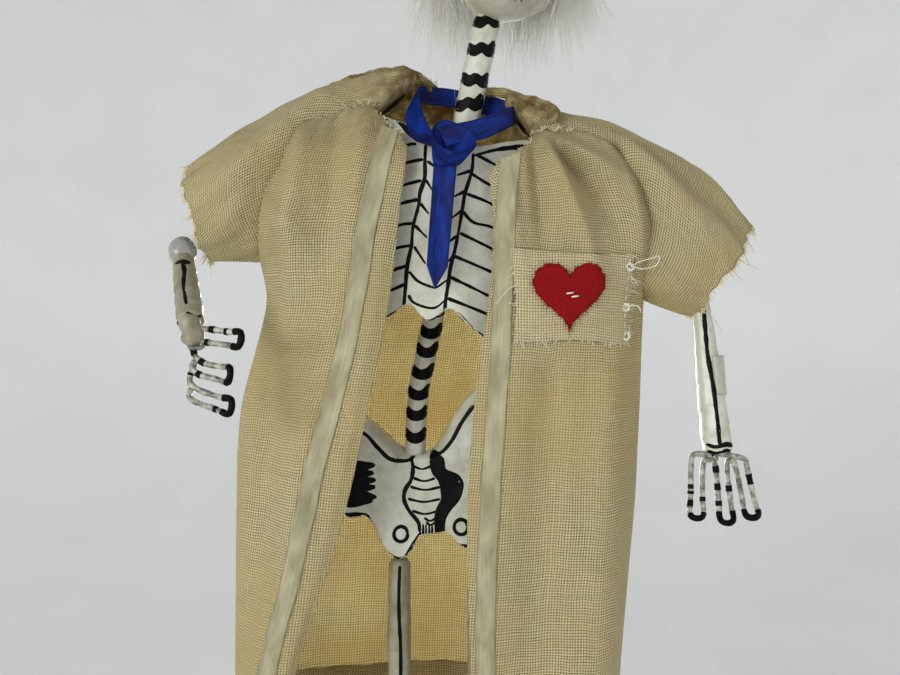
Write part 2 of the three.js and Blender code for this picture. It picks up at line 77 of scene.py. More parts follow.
def studio():
    area_light("key", (-0.66, -0.85, 0.26), (0, 0, 0.22), 0.45, 3.3, spread=2.0)
    area_light("fill", (0.85, -0.75, 0.24), (0, 0, 0.22), 0.8, 1.05, spread=2.0)
    area_light("behind", (0, 0.34, 0.19), (0, 0, 0.185), 0.14, 0.3, spread=1.0)
    world = bpy.data.worlds.new("world")
    world.use_nodes = True
    nodes, link = world.node_tree.nodes, world.node_tree.links.new
    upward = nodes.new("ShaderNodeSeparateXYZ")
    fade = nodes.new("ShaderNodeMapRange")
    link(nodes.new("ShaderNodeTexCoord").outputs["Generated"], upward.inputs[0])
    link(upward.outputs["Z"], fade.inputs["Value"])
    for name, value in (("From Min", -0.1), ("From Max", 0.7), ("To Min", 1.0), ("To Max", 0.12)):
        fade.inputs[name].default_value = value
    nodes["Background"].inputs["Color"].default_value = (0.93, 0.96, 1, 1)
    link(fade.outputs[0], nodes["Background"].inputs["Strength"])
    bpy.context.scene.world = world
    bpy.context.scene.view_settings.view_transform = "Standard"


# ---- Mesh helpers ----
rng = np.random.default_rng(11)


def circle(count):
    """Angles evenly spaced round a whole turn."""
    return np.linspace(0, 2 * np.pi, count, endpoint=False)


def smooth(start, end, t):
    """Rises smoothly from 0 to 1 while t goes from start to end."""
    share = np.clip((t - start) / (end - start), 0, 1)
    return share * share * (3 - 2 * share)


def mix(a, b, t):
    return a + (b - a) * t


def spline(points, count):
    """count evenly spaced points along the smooth curve through the given ones."""
    p = np.array(points, float)
    ends = np.vstack([2 * p[0] - p[1], p, 2 * p[-1] - p[-2]])
    t = np.linspace(0, 1, 16, endpoint=False)[:, None]
    runs = []
    for a, b, c, d in zip(ends, ends[1:], ends[2:], ends[3:]):
        runs.append(b + 0.5 * t * (c - a + t * (2 * a - 5 * b + 4 * c - d + t * (3 * (b - c) + d - a))))
    dense = np.vstack([*runs, p[-1:]])
    length = np.r_[0, np.cumsum(np.linalg.norm(np.diff(dense, axis=0), axis=1))]
    at = np.linspace(0, length[-1], count)
    return np.column_stack([np.interp(at, length, column) for column in dense.T])


def through(stations, t):
    """Reads rows of numbers, spaced evenly from 0 to 1, smoothly at t."""
    rows = spline([[i, *row] for i, row in enumerate(stations)], 400)
    at = np.asarray(t, float) * (len(stations) - 1)
    return [np.interp(at, rows[:, 0], column) for column in rows.T[1:]]


def stacked(*parts):
    """Arrays of x, y and z as one array of points."""
    return np.stack(np.broadcast_arrays(*parts), axis=-1)


def grid_faces(columns, rows, closed=False):
    i = np.arange(columns if closed else columns - 1)[:, None]
    j = np.arange(rows - 1)[None, :]
    a = i * rows + j
    b = (i + 1) % columns * rows + j
    return np.stack([a, b, b + 1, a + 1], axis=-1).reshape(-1, 4)


def mesh_object(name, points, faces, materials, uv=None, stain=None):
    mesh = bpy.data.meshes.new(name)
    points = np.asarray(points, float).reshape(-1, 3) * MM
    mesh.from_pydata(points.tolist(), [], [list(map(int, face)) for face in faces])
    for material in np.atleast_1d(materials):
        mesh.materials.append(material)
    mesh.polygons.foreach_set("use_smooth", np.ones(len(mesh.polygons), bool))
    if uv is not None:
        corner = np.empty(len(mesh.loops), int)
        mesh.loops.foreach_get("vertex_index", corner)
        layer = mesh.uv_layers.new(name="cloth")
        layer.data.foreach_set("uv", np.asarray(uv, float).reshape(-1, 2)[corner].ravel())
    if stain is not None:
        mesh.attributes.new("stain", "FLOAT", "POINT").data.foreach_set("value", np.ravel(stain))
    mesh.update()
    made = bpy.data.objects.new(name, mesh)
    bpy.context.scene.collection.objects.link(made)
    return made


class Batch:
    """Several small shapes that make one mesh."""

    def __init__(self):
        self.points, self.faces, self.count = [], [], 0

    def add(self, points, faces):
        points = np.asarray(points, float).reshape(-1, 3)
        self.points.append(points)
        self.faces.append(np.asarray(faces) + self.count)
        self.count += len(points)

    def take(self, other):
        self.add(np.vstack(other.points), np.vstack(other.faces))

    def made(self, name, material):
        return mesh_object(name, np.vstack(self.points), np.vstack(self.faces), material)


def evened(values, axis):
    """Averages values with their neighbours along an axis."""
    window = np.hanning(23)[1:-1] / np.hanning(23).sum()

    def averaged(row):
        return np.convolve(np.pad(row, len(window) // 2, "edge"), window, "valid")

    return np.apply_along_axis(averaged, axis, values)


def arc_lengths(points):
    """Millimetres along both directions of a grid of points, for a cloth's thread lines."""
    across = np.linalg.norm(np.diff(points, axis=0), axis=2).cumsum(axis=0)
    along = np.linalg.norm(np.diff(points, axis=1), axis=2).cumsum(axis=1)
    across = np.vstack([np.zeros((1, points.shape[1])), across])
    along = np.hstack([np.zeros((points.shape[0], 1)), along])
    return np.stack([evened(across - across.mean(axis=0), 1), evened(along, 0)], axis=-1)


def cloth(name, shape, columns, rows, materials, thick, stain=None):
    """A thin sheet over shape(u, v), with a second material on its far side if two are given."""
    u, v = np.meshgrid(np.linspace(0, 1, columns), np.linspace(0, 1, rows), indexing="ij")
    points = stacked(*shape(u, v))
    marks = None if stain is None else stain(points[..., 0], points[..., 2])
    made = mesh_object(name, points, grid_faces(columns, rows), materials, arc_lengths(points), marks)
    solid = made.modifiers.new("thickness", "SOLIDIFY")
    solid.thickness = thick * MM
    solid.offset = -1
    solid.material_offset = 1 if len(np.atleast_1d(materials)) > 1 else 0
    return made


def sweep(path, radius, sides=10):
    """A closed tube along a path. radius is one number, one per point, or one per point and side."""
    path = np.asarray(path, float)
    radius = np.broadcast_to(np.asarray(radius, float).reshape(-1, 1) if np.ndim(radius) < 2 else radius,
                             (len(path), sides))
    path = np.vstack([path[:1], path, path[-1:]])
    radius = np.vstack([radius[:1] * 0.02, radius, radius[-1:] * 0.02])
    tangent = np.gradient(path, axis=0)
    tangent[0], tangent[-1] = tangent[1], tangent[-2]
    tangent /= np.linalg.norm(tangent, axis=1, keepdims=True)
    side = np.cross([0, 1, 0], tangent[0])
    if np.linalg.norm(side) < 0.2:
        side = np.cross([1, 0, 0], tangent[0])
    turn = circle(sides)
    rings = []
    for place, ahead, reach in zip(path, tangent, radius):
        side = side - ahead * (side @ ahead)
        side /= np.linalg.norm(side)
        front = np.cross(side, ahead)
        ring = np.outer(np.cos(turn), side) + np.outer(np.sin(turn), front)
        rings.append(place + ring * reach[:, None])
    return np.stack(rings, axis=1), grid_faces(sides, len(path), closed=True)[:, ::-1]


def point_of(shape, *at):
    """One point of a surface that is given as a function."""
    return np.array([float(c) for c in shape(*map(np.array, at))])


# ---- Looks ----
class Look:
    """A node material under construction."""

    def __init__(self, name, **shader):
        self.material = bpy.data.materials.new(name)
        self.material.use_nodes = True
        self.tree = self.material.node_tree
        self.shader = self.tree.nodes["Principled BSDF"]
        for key, value in shader.items():
            self.shader.inputs[key.replace("_", " ")].default_value = value
        self.place = self.add("TexCoord").outputs["Object"]

    def feed(self, socket, value):
        if isinstance(value, bpy.types.NodeSocket):
            self.tree.links.new(value, socket)
        elif value is not None:
            socket.default_value = (*value, 1) if np.ndim(value) and socket.type == "RGBA" else value

    def add(self, kind, settings=(), **inputs):
        node = self.tree.nodes.new("ShaderNode" + kind)
        for key, value in dict(settings).items():
            setattr(node, key, value)
        for key, value in inputs.items():
            self.feed(node.inputs[key], value)
        return node

    def math(self, operation, a, b=0.0):
        node = self.add("Math", {"operation": operation})
        self.feed(node.inputs[0], a)
        self.feed(node.inputs[1], b)
        return node.outputs[0]

    def fade(self, value, start, end, low=0.0, high=1.0):
        node = self.add("MapRange")
        for socket, number in zip(node.inputs, (value, start, end, low, high)):
            self.feed(socket, number)
        return node.outputs[0]

    def blend(self, share, a, b):
        node = self.add("Mix", {"data_type": "RGBA"})
        self.feed(node.inputs[0], share)
        self.feed(node.inputs[6], a)
        self.feed(node.inputs[7], b)
        return node.outputs[2]

    def noise(self, size, detail=2.0, stretch=(1, 1, 1), vector=None):
        """Noise whose patches are about size millimetres across."""
        scaled = self.add("VectorMath", {"operation": "MULTIPLY"})
        self.feed(scaled.inputs[0], vector or self.place)
        unit = 1.0 if vector else 1000.0
        self.feed(scaled.inputs[1], tuple(unit / size / s for s in stretch))
        node = self.add("TexNoise", Vector=scaled.outputs[0], Scale=1.0, Detail=detail, Roughness=0.5)
        return node.outputs["Fac"]

    def times(self, a, b):
        return self.math("MULTIPLY", a, b)

    def plus(self, a, b):
        return self.math("ADD", a, b)

    def bump(self, height, depth, strength, normal=None):
        node = self.add("Bump", Height=height, Distance=depth * MM, Strength=strength)
        self.feed(node.inputs["Normal"], normal)
        return node.outputs[0]

    def finish(self, colour, rough, normal=None, glow=0.0):
        """glow is the share of light that comes through from behind."""
        self.feed(self.shader.inputs["Base Color"], colour)
        self.feed(self.shader.inputs["Roughness"], rough)
        self.feed(self.shader.inputs["Normal"], normal)
        if glow:
            through = self.add("BsdfTranslucent", Color=colour, Normal=normal)
            share = self.add("MixShader", Fac=glow)
            self.feed(share.inputs[1], self.shader.outputs[0])
            self.feed(share.inputs[2], through.outputs[0])
            self.feed(self.tree.nodes["Material Output"].inputs["Surface"], share.outputs[0])
        return self.material


def linear(colour):
    """A colour as it is seen, from 0 to 255, as the linear numbers that shaders use."""
    c = np.array(colour) / 255
    return tuple(float(x) for x in np.where(c < 0.04045, c / 12.92, ((c + 0.055) / 1.055) ** 2.4))


THREAD_PITCH = 0.84
GLUE_STAIN = (112, 84, 30)


def woven(name, light, gap, stained, glow):
    """Coarse plain weave: each thread goes over one and under the next, and varies in thickness."""
    look = Look(name)
    light, gap, stained = linear(light), linear(gap), linear(stained)
    uv = look.add("UVMap", {"uv_map": "cloth"}).outputs[0]
    parts = look.add("SeparateXYZ", Vector=uv)
    wander = look.fade(look.noise(11, 1, vector=uv), 0.3, 0.7, -0.14, 0.14)
    sines = []
    for socket, stretch in ((parts.outputs[0], (1, 25, 1)), (parts.outputs[1], (25, 1, 1))):
        uneven = look.fade(look.noise(1.3, 1, stretch, uv), 0.3, 0.7, -0.07, 0.07)
        turns = look.math("DIVIDE", look.plus(socket, look.plus(wander, uneven)), THREAD_PITCH)
        sines.append(look.math("SINE", look.times(turns, np.pi)))
    a, b = (look.math("ABSOLUTE", wave) for wave in sines)
    over = look.math("GREATER_THAN", look.times(*sines), 0.0)
    warp = look.times(look.math("POWER", a, 0.7), look.fade(b, 0, 1, 0.3, 1))
    weft = look.times(look.math("POWER", b, 0.7), look.fade(a, 0, 1, 0.3, 1))
    height = look.plus(look.times(over, warp), look.times(look.math("SUBTRACT", 1.0, over), weft))
    thread = look.plus(look.noise(0.9, 2, (1, 14, 1), uv), look.noise(0.9, 2, (14, 1, 1), uv))
    # Painted shade: the gap colour darkens the hollows between threads, most where four threads meet.
    shade = look.plus(height, look.math("MAXIMUM", a, b))  # darkest where four threads meet
    colour = look.blend(look.fade(shade, 0.45, 1.7), gap, light)
    colour = look.blend(look.fade(thread, 0.85, 1.3, 0.0, 0.3), colour, tuple(x * 0.72 for x in light))
    colour = look.blend(look.fade(look.noise(34, 3), 0.42, 0.68, 0, 0.45), colour, stained)
    mark = look.add("Attribute", {"attribute_name": "stain"}).outputs["Fac"]
    blot = look.times(mark, look.fade(look.noise(4, 4), 0.3, 0.6))
    colour = look.blend(look.math("MINIMUM", blot, 0.85), colour, linear(GLUE_STAIN))
    normal = look.bump(height, THREAD_PITCH / 2, 0.9, look.bump(look.noise(9, 2), 0.5, 0.35))
    return look.finish(colour, 0.93, normal, glow)


def satin(name, base, pale, **shader):
    """Woven ribbon: fine cross ribs, a firmer selvedge down both edges, and painted sheen: faint lengthways
    streaks and patches of the paler colour are painted highlight, the darker colour painted shade.
    """
    look = Look(name, **shader)
    base, pale = linear(base), linear(pale)
    uv = look.add("UVMap", {"uv_map": "cloth"}).outputs[0]
    parts = look.add("SeparateXYZ", Vector=uv)
    ribs = look.math("SINE", look.times(parts.outputs[1], 2 * np.pi / 0.42))
    cross = look.math("SINE", look.times(parts.outputs[0], 2 * np.pi / 0.5))
    edge = look.fade(look.math("ABSOLUTE", parts.outputs[0]), 2.3, 2.75)
    streak = look.noise(0.5, 2, (1, 30, 1), uv)
    patch = look.noise(5, 2, (1, 2.5, 1), uv)
    # painted sheen: where the paler colour shows as a satin highlight
    painted_sheen = look.plus(look.times(streak, 0.4), patch)
    colour = look.blend(look.fade(painted_sheen, 0.55, 0.95), base, pale)
    colour = look.blend(look.times(edge, 0.3), colour, tuple(x * 0.8 for x in base))
    height = look.plus(look.times(ribs, cross), look.times(edge, 1.5))
    rough = look.fade(patch, 0.3, 0.7, 0.26, 0.42)
    return look.finish(colour, rough, look.bump(height, 0.06, 0.8, look.bump(patch, 0.8, 0.6)))


def painted(name, base, dull, rough=(0.28, 0.5), relief=0.5, coat=0.15):
    """Brushed white paint over paper: soft lumps, fine brush lines, and patches of dirt."""
    look = Look(name, Coat_Weight=coat, Coat_Roughness=0.25)
    base, dull = linear(base), linear(dull)
    soft = look.noise(7, 2)
    brush = look.noise(0.7, 3, (1.2, 1, 7))
    grime = look.fade(look.noise(3.2, 4), 0.5, 0.72)
    colour = look.blend(look.fade(soft, 0.35, 0.7), base, dull)
    colour = look.blend(look.times(grime, 0.35), colour, tuple(x * 0.6 for x in dull))
    height = look.plus(look.times(soft, relief * 2), look.times(brush, 0.12))
    return look.finish(colour, look.fade(brush, 0.3, 0.7, *rough), look.bump(height, 0.5, 0.7))


def plain_look(name, base, pale, size, rough, depth, glow=0.0, **shader):
    """Two colours in grains of a size, with a range of roughness and a little depth."""
    look = Look(name, **shader)
    grain = look.noise(size, 4)
    colour = look.blend(look.fade(grain, 0.35, 0.65), linear(base), linear(pale))
    return look.finish(colour, look.fade(grain, 0.3, 0.7, *rough), look.bump(grain, depth, 0.6), glow)


def stage_look():
    """Pale card that glows a little, most where it starts to curve up, so that it looks even all over."""
    look = Look("stage", Specular_IOR_Level=0.1)
    height = look.add("SeparateXYZ", Vector=look.place).outputs[2]
    rise = look.fade(height, 0.0, 0.25, 0.19, 0.25)
    glow = look.plus(rise, look.fade(height, 0.25, 0.8, 0.0, -0.06))
    look.feed(look.shader.inputs["Emission Color"], (0.98, 0.99, 1))
    look.feed(look.shader.inputs["Emission Strength"], glow)
    grain = look.fade(look.noise(90, 2), 0.3, 0.7)
    return look.finish(look.blend(grain, linear((228, 228, 227)), linear((234, 234, 233))), 0.9)


def wood_look():
    look = Look("board_wood", Coat_Weight=0.1, Coat_Roughness=0.3)
    rings = look.add("VectorMath", {"operation": "MULTIPLY"})
    look.feed(rings.inputs[0], look.place)
    look.feed(rings.inputs[1], (12, 150, 150))
    bands = look.add("TexWave", {"bands_direction": "Y"}, Vector=rings.outputs[0], Scale=0.7, Distortion=3.5,
                     Detail=3.0).outputs["Fac"]
    fibre = look.noise(0.6, 4, (40, 1, 1))
    colour = look.blend(bands, linear((120, 78, 42)), linear((166, 118, 70)))
    colour = look.blend(look.fade(fibre, 0.4, 0.7, 0, 0.5), colour, linear((84, 52, 28)))
    height = look.plus(look.times(bands, 0.3), fibre)
    return look.finish(colour, look.fade(fibre, 0.3, 0.7, 0.4, 0.6), look.bump(height, 0.15, 0.6))


COTTON = woven("coat_cloth", (240, 226, 176), (98, 80, 38), (214, 190, 120), 0.2)
THIN_COTTON = woven("coat_back_cloth", (240, 228, 182), (98, 82, 42), (214, 194, 134), 0.5)
# The pocket is the coat's own cloth in paler colours: painted light, for the light its puffed front catches.
LIT_POCKET_COTTON = woven("pocket_cloth_painted_light", (250, 237, 190), (146, 126, 76), (240, 224, 170), 0.2)
# The inner side of the coat's cloth, paler and with lighter gaps than the outside: painted light, for light
# that comes through the cloth.
COTTON_INSIDE = woven("coat_cloth_inside", (244, 235, 200), (130, 116, 74), (186, 160, 102), 0.75)
# Each ribbon's first colour carries painted shade and its second painted highlight.
CREAM = satin("cream_ribbon", (156, 149, 113), (200, 194, 158))
BLUE = satin("blue_ribbon", (0, 10, 70), (6, 58, 168), Specular_IOR_Level=0.2)
BONE = painted("painted_paper", (214, 216, 202), (196, 196, 174))
GREY = painted("worn_paint", (150, 152, 148), (182, 182, 174), rough=(0.15, 0.35))
SKULL = painted("painted_skull", (206, 206, 190), (186, 183, 162), rough=(0.55, 0.75), relief=0.8, coat=0)
# A darker copy of the painted paper: painted shade on the legs, for the shadow inside the coat, and grime on
# the right forearm and palm.
SHADE_AND_GRIME = painted("shade_and_grime_paint", (162, 160, 136), (134, 130, 104), rough=(0.4, 0.6))
BARE = plain_look("plain_paper", (200, 190, 160), (220, 212, 188), 2.5, (0.75, 0.95), 0.4)
INK = plain_look("black_paint", (2, 2, 3), (8, 8, 9), 0.8, (0.4, 0.6), 0.1, Specular_IOR_Level=0.12)
STEEL = plain_look("armature_wire", (120, 118, 112), (160, 158, 150), 1.0, (0.3, 0.5), 0.05, Metallic=1.0)
WIRE_PAINT = plain_look("painted_wire", (92, 90, 76), (196, 195, 180), 1.8, (0.25, 0.5), 0.15)
RED = plain_look("red_felt", (118, 6, 9), (152, 10, 13), 0.5, (0.8, 0.95), 0.35, Specular_IOR_Level=0.2)
THREAD = plain_look("thread", (226, 212, 168), (240, 230, 196), 0.7, (0.8, 0.95), 0.05)
WHITE_THREAD = plain_look("white_thread", (232, 228, 212), (244, 242, 232), 0.6, (0.7, 0.9), 0.05)
FUR = plain_look("white_fur", (240, 239, 232), (252, 251, 246), 3.0, (0.35, 0.55), 0.02, glow=0.5)
PAPER = painted("paper_strip_paint", (196, 197, 182), (178, 176, 156), relief=0.3)
STAGE = stage_look()


def stage():
    """A pale floor that curves up all round into a wall."""
    turn = np.linspace(0, np.pi / 2, 24)
    reach = np.r_[0.01, 200, 480 + 1000 * np.sin(turn), 1480]
    height = np.r_[0, 0, 1000 * (1 - np.cos(turn)), 1900]
    around = circle(64)[:, None]
    points = stacked(reach * np.cos(around), reach * np.sin(around), height)
    mesh_object("stage", points, grid_faces(64, len(reach), closed=True), STAGE)


def put(piece, body, slot, *nodes):
    """Rides a piece on its body, and lets it stand in for frame nodes."""
    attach(piece, body)
    if nodes:
        piece.name = nodes[0] + "_form"
        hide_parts(*nodes)
    return piece


# ---- Painted lines ----
INK_WEIGHT = 1.3


class Painter:
    """Lays raised black brush strokes on a piece. They are given as (x, z) points and a width,
    and fall on the piece from the front, or from behind when back is set."""

    def __init__(self, target, back=False):
        bpy.context.view_layer.update()
        self.tree = BVHTree.FromObject(target, bpy.context.evaluated_depsgraph_get())
        self.ahead = Vector((0, -1, 0) if back else (0, 1, 0))
        self.batch = Batch()

    def land(self, x, z, lift):
        start = Vector((x * MM, -0.3 * self.ahead.y, z * MM))
        place, normal, _, _ = self.tree.ray_cast(start, self.ahead)
        return None if place is None else np.array(place + normal * lift * MM) / MM

    def strip(self, centres, sideways, half):
        heights = (-0.05, 0.09, 0.13, 0.09, -0.05)
        points, good = [], []
        for centre, side, reach in zip(centres, sideways, half):
            for share, lift in zip((-1, -0.6, 0, 0.6, 1), heights):
                spot = self.land(*(centre + side * reach * share), lift)
                good.append(spot is not None)
                points.append((0, 0, 0) if spot is None else spot)
        faces = grid_faces(len(centres), 5)
        faces = faces[np.array(good)[faces].all(axis=1)]
        if len(faces):
            self.batch.add(points, faces)

    def stroke(self, points, width, wobble=0.18):
        points = np.array(points, float)
        length = np.linalg.norm(np.diff(points, axis=0), axis=1).sum()
        count = max(6, int(length / 0.45))
        centres = spline(points, count) if len(points) > 2 else np.linspace(*points, count)
        ahead = np.gradient(centres, axis=0)
        ahead /= np.linalg.norm(ahead, axis=1, keepdims=True)
        sideways = np.column_stack([-ahead[:, 1], ahead[:, 0]])
        width = INK_WEIGHT * np.atleast_1d(width)
        half = np.interp(np.linspace(0, 1, count), np.linspace(0, 1, len(width)), width) / 2
        waves = np.convolve(rng.normal(0, 1, count + 8), np.ones(5) / 5, "same")[4:-4]
        half = half * (1 + wobble * waves)
        near = np.minimum(np.arange(count), np.arange(count)[::-1]) * length / count
        half = half * np.sqrt(np.clip((near + 0.12) / np.maximum(half, 0.1), 0, 1))
        self.strip(centres, sideways, half)

    def ring(self, x, z, radius, width):
        turn = np.linspace(0, 2.05 * np.pi, 9)
        self.stroke(np.column_stack([x + radius * np.cos(turn), z + 1.08 * radius * np.sin(turn)]), width)

    def patch(self, outline, step=0.4):
        """A filled patch inside an outline."""
        shape = np.array(outline, float)
        (x0, z0), (x1, z1) = shape.min(axis=0), shape.max(axis=0)
        xs, zs = np.arange(x0, x1 + step, step), np.arange(z0, z1 + step, step)
        inside = np.zeros((len(xs), len(zs)), bool)
        gx, gz = np.meshgrid(xs, zs, indexing="ij")
        for (ax, az), (bx, bz) in zip(shape, np.roll(shape, -1, axis=0)):
            crosses = (az > gz) != (bz > gz)
            inside ^= crosses & (gx < ax + (gz - az) * (bx - ax) / np.where(bz == az, 1e-9, bz - az))
        points = np.zeros((len(xs), len(zs), 3))
        for i, j in np.argwhere(inside):
            spot = self.land(xs[i], zs[j], 0.1)
            inside[i, j] = spot is not None
            points[i, j] = (0, 0, 0) if spot is None else spot
        faces = grid_faces(len(xs), len(zs))
        faces = faces[inside.ravel()[faces].all(axis=1)]
        if len(faces):
            self.batch.add(points, faces)
        self.stroke(np.vstack([shape, shape[:1]]), 1)

    def made(self, name, body):
        return put(self.batch.made(name, INK), body, "painted_paper")


# ---- Paper-wrapped bones ----
def wrapped(name, path, radii, body, turns, seed, look):
    """A bone of paper strip wound round a wire: flat facets, and a small step where each turn overlaps.
    It stands in for the frame node of its name."""
    sides = 28
    facets = 7
    path = spline(path, 90)
    t = np.linspace(0, 1, 90)[:, None]
    turn = circle(sides)[None, :]
    own = np.random.default_rng(seed)
    radius = np.interp(t[:, 0], np.linspace(0, 1, len(radii)), radii)[:, None]
    step = np.pi * 2 / facets
    flat = np.cos(step / 2) / np.cos((turn + own.uniform(0, 1) + 0.4 * t) % step - step / 2)
    overlap = (t * turns + turn / (2 * np.pi)) % 1.0
    waves = sum(own.uniform(0.2, 0.6) * np.sin(k * 9 * t + m * turn + own.uniform(0, 6))
                for k, m in ((1, 1), (2, 0), (3, 2), (2, 1)))
    cut = 1 - 0.25 * smooth(0.03, 0, t) - 0.25 * smooth(0.97, 1, t)
    reach = radius * mix(1, flat, 0.75) * (0.97 + 0.07 * overlap * smooth(1, 0.93, overlap)) * cut
    points, faces = sweep(path, reach + 0.09 * waves, sides)
    return put(mesh_object(name, points, faces, look), body, "painted_paper", name)


# ---- Sculpted paper forms ----
def lumps(points, size, depth, seed):
    """The height of soft irregular bumps at each point."""
    own = np.random.default_rng(seed)
    total = 0
    for _ in range(8):
        way = own.normal(0, 1, 3)
        way *= 2 * np.pi / size / np.linalg.norm(way) * own.uniform(0.6, 1.5)
        total = total + np.sin(points @ way + own.uniform(0, 6))
    return depth * total / 3


def read_points(mesh, what="co"):
    values = np.empty(len(mesh.vertices) * 3)
    source = mesh.vertices if what == "co" else mesh.vertex_normals
    source.foreach_get(what if what == "co" else "vector", values)
    return values.reshape(-1, 3)


def uneven(made, size, depth, seed):
    """Moves a mesh in and out along its normals."""
    points = read_points(made.data)
    off = lumps(points / MM, size, depth, seed)[:, None] * MM
    made.data.vertices.foreach_set("co", (points + read_points(made.data, "normal") * off).ravel())
    made.data.update()
    return made


def melted(name, points, faces, material, voxel=0.55, soften=8, place=None, bumps=(9, 0.3), seed=1):
    """Closed shapes melted into one smooth lump, then bent by place(points) and made slightly uneven."""
    made = mesh_object(name, points, faces, material)
    remesh = made.modifiers.new("melt", "REMESH")
    remesh.mode = "VOXEL"
    remesh.voxel_size = voxel * MM
    made.modifiers.new("soften", "SMOOTH").iterations = soften
    bpy.context.view_layer.update()
    mesh = bpy.data.meshes.new_from_object(made.evaluated_get(bpy.context.evaluated_depsgraph_get()))
    made.modifiers.clear()
    made.data = mesh
    mesh.polygons.foreach_set("use_smooth", np.ones(len(mesh.polygons), bool))
    if place:
        mesh.vertices.foreach_set("co", (place(read_points(mesh) / MM) * MM).ravel())
        mesh.update()
    return uneven(made, *bumps, seed)


def plate(outline, thick):
    """A flat plate in (u, w), its thickness along the middle number."""
    count = len(outline)
    front = [(u, -thick / 2, w) for u, w in outline]
    back = [(u, thick / 2, w) for u, w in outline]
    ring = np.arange(count)
    sides = np.stack([ring, (ring + 1) % count, (ring + 1) % count + count, ring + count], axis=-1)
    return front + back, [*sides.tolist(), ring[::-1].tolist(), (ring + count).tolist()]


def orb(centre, radii):
    """An ellipsoid. centre and radii are (x, y, z)."""
    around, up = 24, 16
    lon = circle(around)[:, None]
    lat = np.linspace(-1.5, 1.5, up)[None, :]
    unit = stacked(np.cos(lat) * np.cos(lon), np.cos(lat) * np.sin(lon), np.sin(lat))
    ends = [np.arange(around)[::-1] * up, np.arange(around) * up + up - 1]
    return np.array(centre) + unit * radii, [*grid_faces(around, up, closed=True).tolist(), *map(list, ends)]


def joined(*shapes):
    points, faces = [], []
    for spots, sides in shapes:
        spots = np.reshape(spots, (-1, 3))
        faces += [[int(i) + len(points) for i in side] for side in sides]
        points += spots.tolist()
    return points, faces


# ---- Legs ----
LEG_X = {"right": -10, "left": 15.5}
HIP_Z = {"right": 150.2, "left": 153.9}


def on_board(points):
    """Flattens the soles, just above the board."""
    return points * (1, 1, 0) + (0, 0, 1) * np.maximum(points[:, 2:], 10.45)


def legs():
    for number, (side, x) in enumerate(LEG_X.items()):
        shin = [(x, 0, 18.4), (x + 0.2, 0.2, 50), (x, 0, 81.2)]
        thigh = [(x, 0, 90.8), (x - 0.3, 0.1, 118), (x, 0, HIP_Z[side] - 1)]
        # The legs' darker paint is painted shade, for the shadow inside the coat.
        lower = wrapped(f"shin_{side}", shin, (3.1, 3.5, 3.8, 3.7, 3.3), ROOT, 6, 21 + number, SHADE_AND_GRIME)
        upper = wrapped(f"thigh_{side}", thigh, (3.3, 3.7, 3.9, 3.8, 3.5), ROOT, 4, 31 + number, SHADE_AND_GRIME)
        joint = joined(orb((x, -0.2, 86), (5.2, 5.4, 4.5)), orb((x, -3.2, 87), (3.2, 2.8, 3)))
        knee = melted(f"knee_{side}", *joint, BONE, seed=41 + number)
        put(knee, ROOT, "painted_paper", f"knee_{side}")
        toes = [orb((x + 2.5 * k, -13.8 + 0.5 * abs(k - 0.5), 12.6), (1.6, 4.6, 2.1))
                for k in (-1.6, -0.6, 0.5, 1.6)]
        sole = orb((x, -5.5, 13.2), (5.2, 10.5, 3))
        heel = orb((x, 1.2, 14.4), (4.6, 5, 4.4))
        foot = melted(f"foot_{side}", *joined(sole, heel, *toes), BONE, voxel=0.45, soften=4,
                      place=on_board, bumps=(6, 0.15), seed=51 + number)
        put(foot, ROOT, "painted_paper", f"foot_{side}")
        ink = Painter(upper)
        top = HIP_Z[side] - 2.5
        ink.stroke([(x + 0.1, top), (x - 0.2, 135), (x + 0.4, 118), (x + 0.1, 92)],
                   (0.9, 1.1, 1, 1.1, 0.9), 0.12)
        ink.made(f"thigh_line_{side}", ROOT)
        ink = Painter(lower)
        ink.stroke([(x, 80), (x + 0.3, 50), (x - 0.1, 21)], (0.9, 1.1, 0.9), 0.12)
        ink.made(f"shin_line_{side}", ROOT)
        ink = Painter(knee)
        ink.stroke([(x - 3.6, 88), (x - 1.6, 89.6), (x + 1.6, 89.6), (x + 3.6, 88)], (0.5, 1, 0.5))
        ink.stroke([(x - 3.6, 84), (x - 1.2, 82.8), (x + 1.2, 82.8), (x + 3.6, 84)], (0.5, 1, 0.5))
        ink.made(f"knee_lines_{side}", ROOT)


# ---- Pelvis ----
PELVIS_LINE = ((0, 9.6), (3.4, 9.2), (7, 10.4), (10.2, 14), (14.4, 19.5), (19.5, 25), (26, 29.5))
PELVIS_HALF = [
    (0, 10.6), (3.4, 11.6), (7, 14.6), (10.2, 18.5), (14.4, 23.6), (19.5, 28), (26, 31), (31.5, 28),
    (33, 18), (30, 5), (26, -4.5), (20.5, -5.2), (18, -8), (16, -15), (13.6, -19.6), (11.2, -20.6),
    (8, -19.2), (4.6, -14.6), (1.8, -14.2),
]


def tilted(u, w, tilt, x, z):
    """Turns (u, w) by the tilt, clockwise as seen from the front, about the point (x, z)."""
    return x + u * np.cos(tilt) + w * np.sin(tilt), z - u * np.sin(tilt) + w * np.cos(tilt)


def pelvis_place(p):
    x, z = tilted(p[:, 0], p[:, 2], -0.148, -1.6, 172)
    hollow = 1.2 * smooth(6, 26, np.abs(p[:, 0]))
    above = np.maximum(p[:, 2] - np.interp(np.abs(p[:, 0]), *np.transpose(PELVIS_LINE)), 0)
    return np.column_stack([x, p[:, 1] - 0.3 - hollow + 1.1 * above * smooth(30, 24, np.abs(p[:, 0])), z])


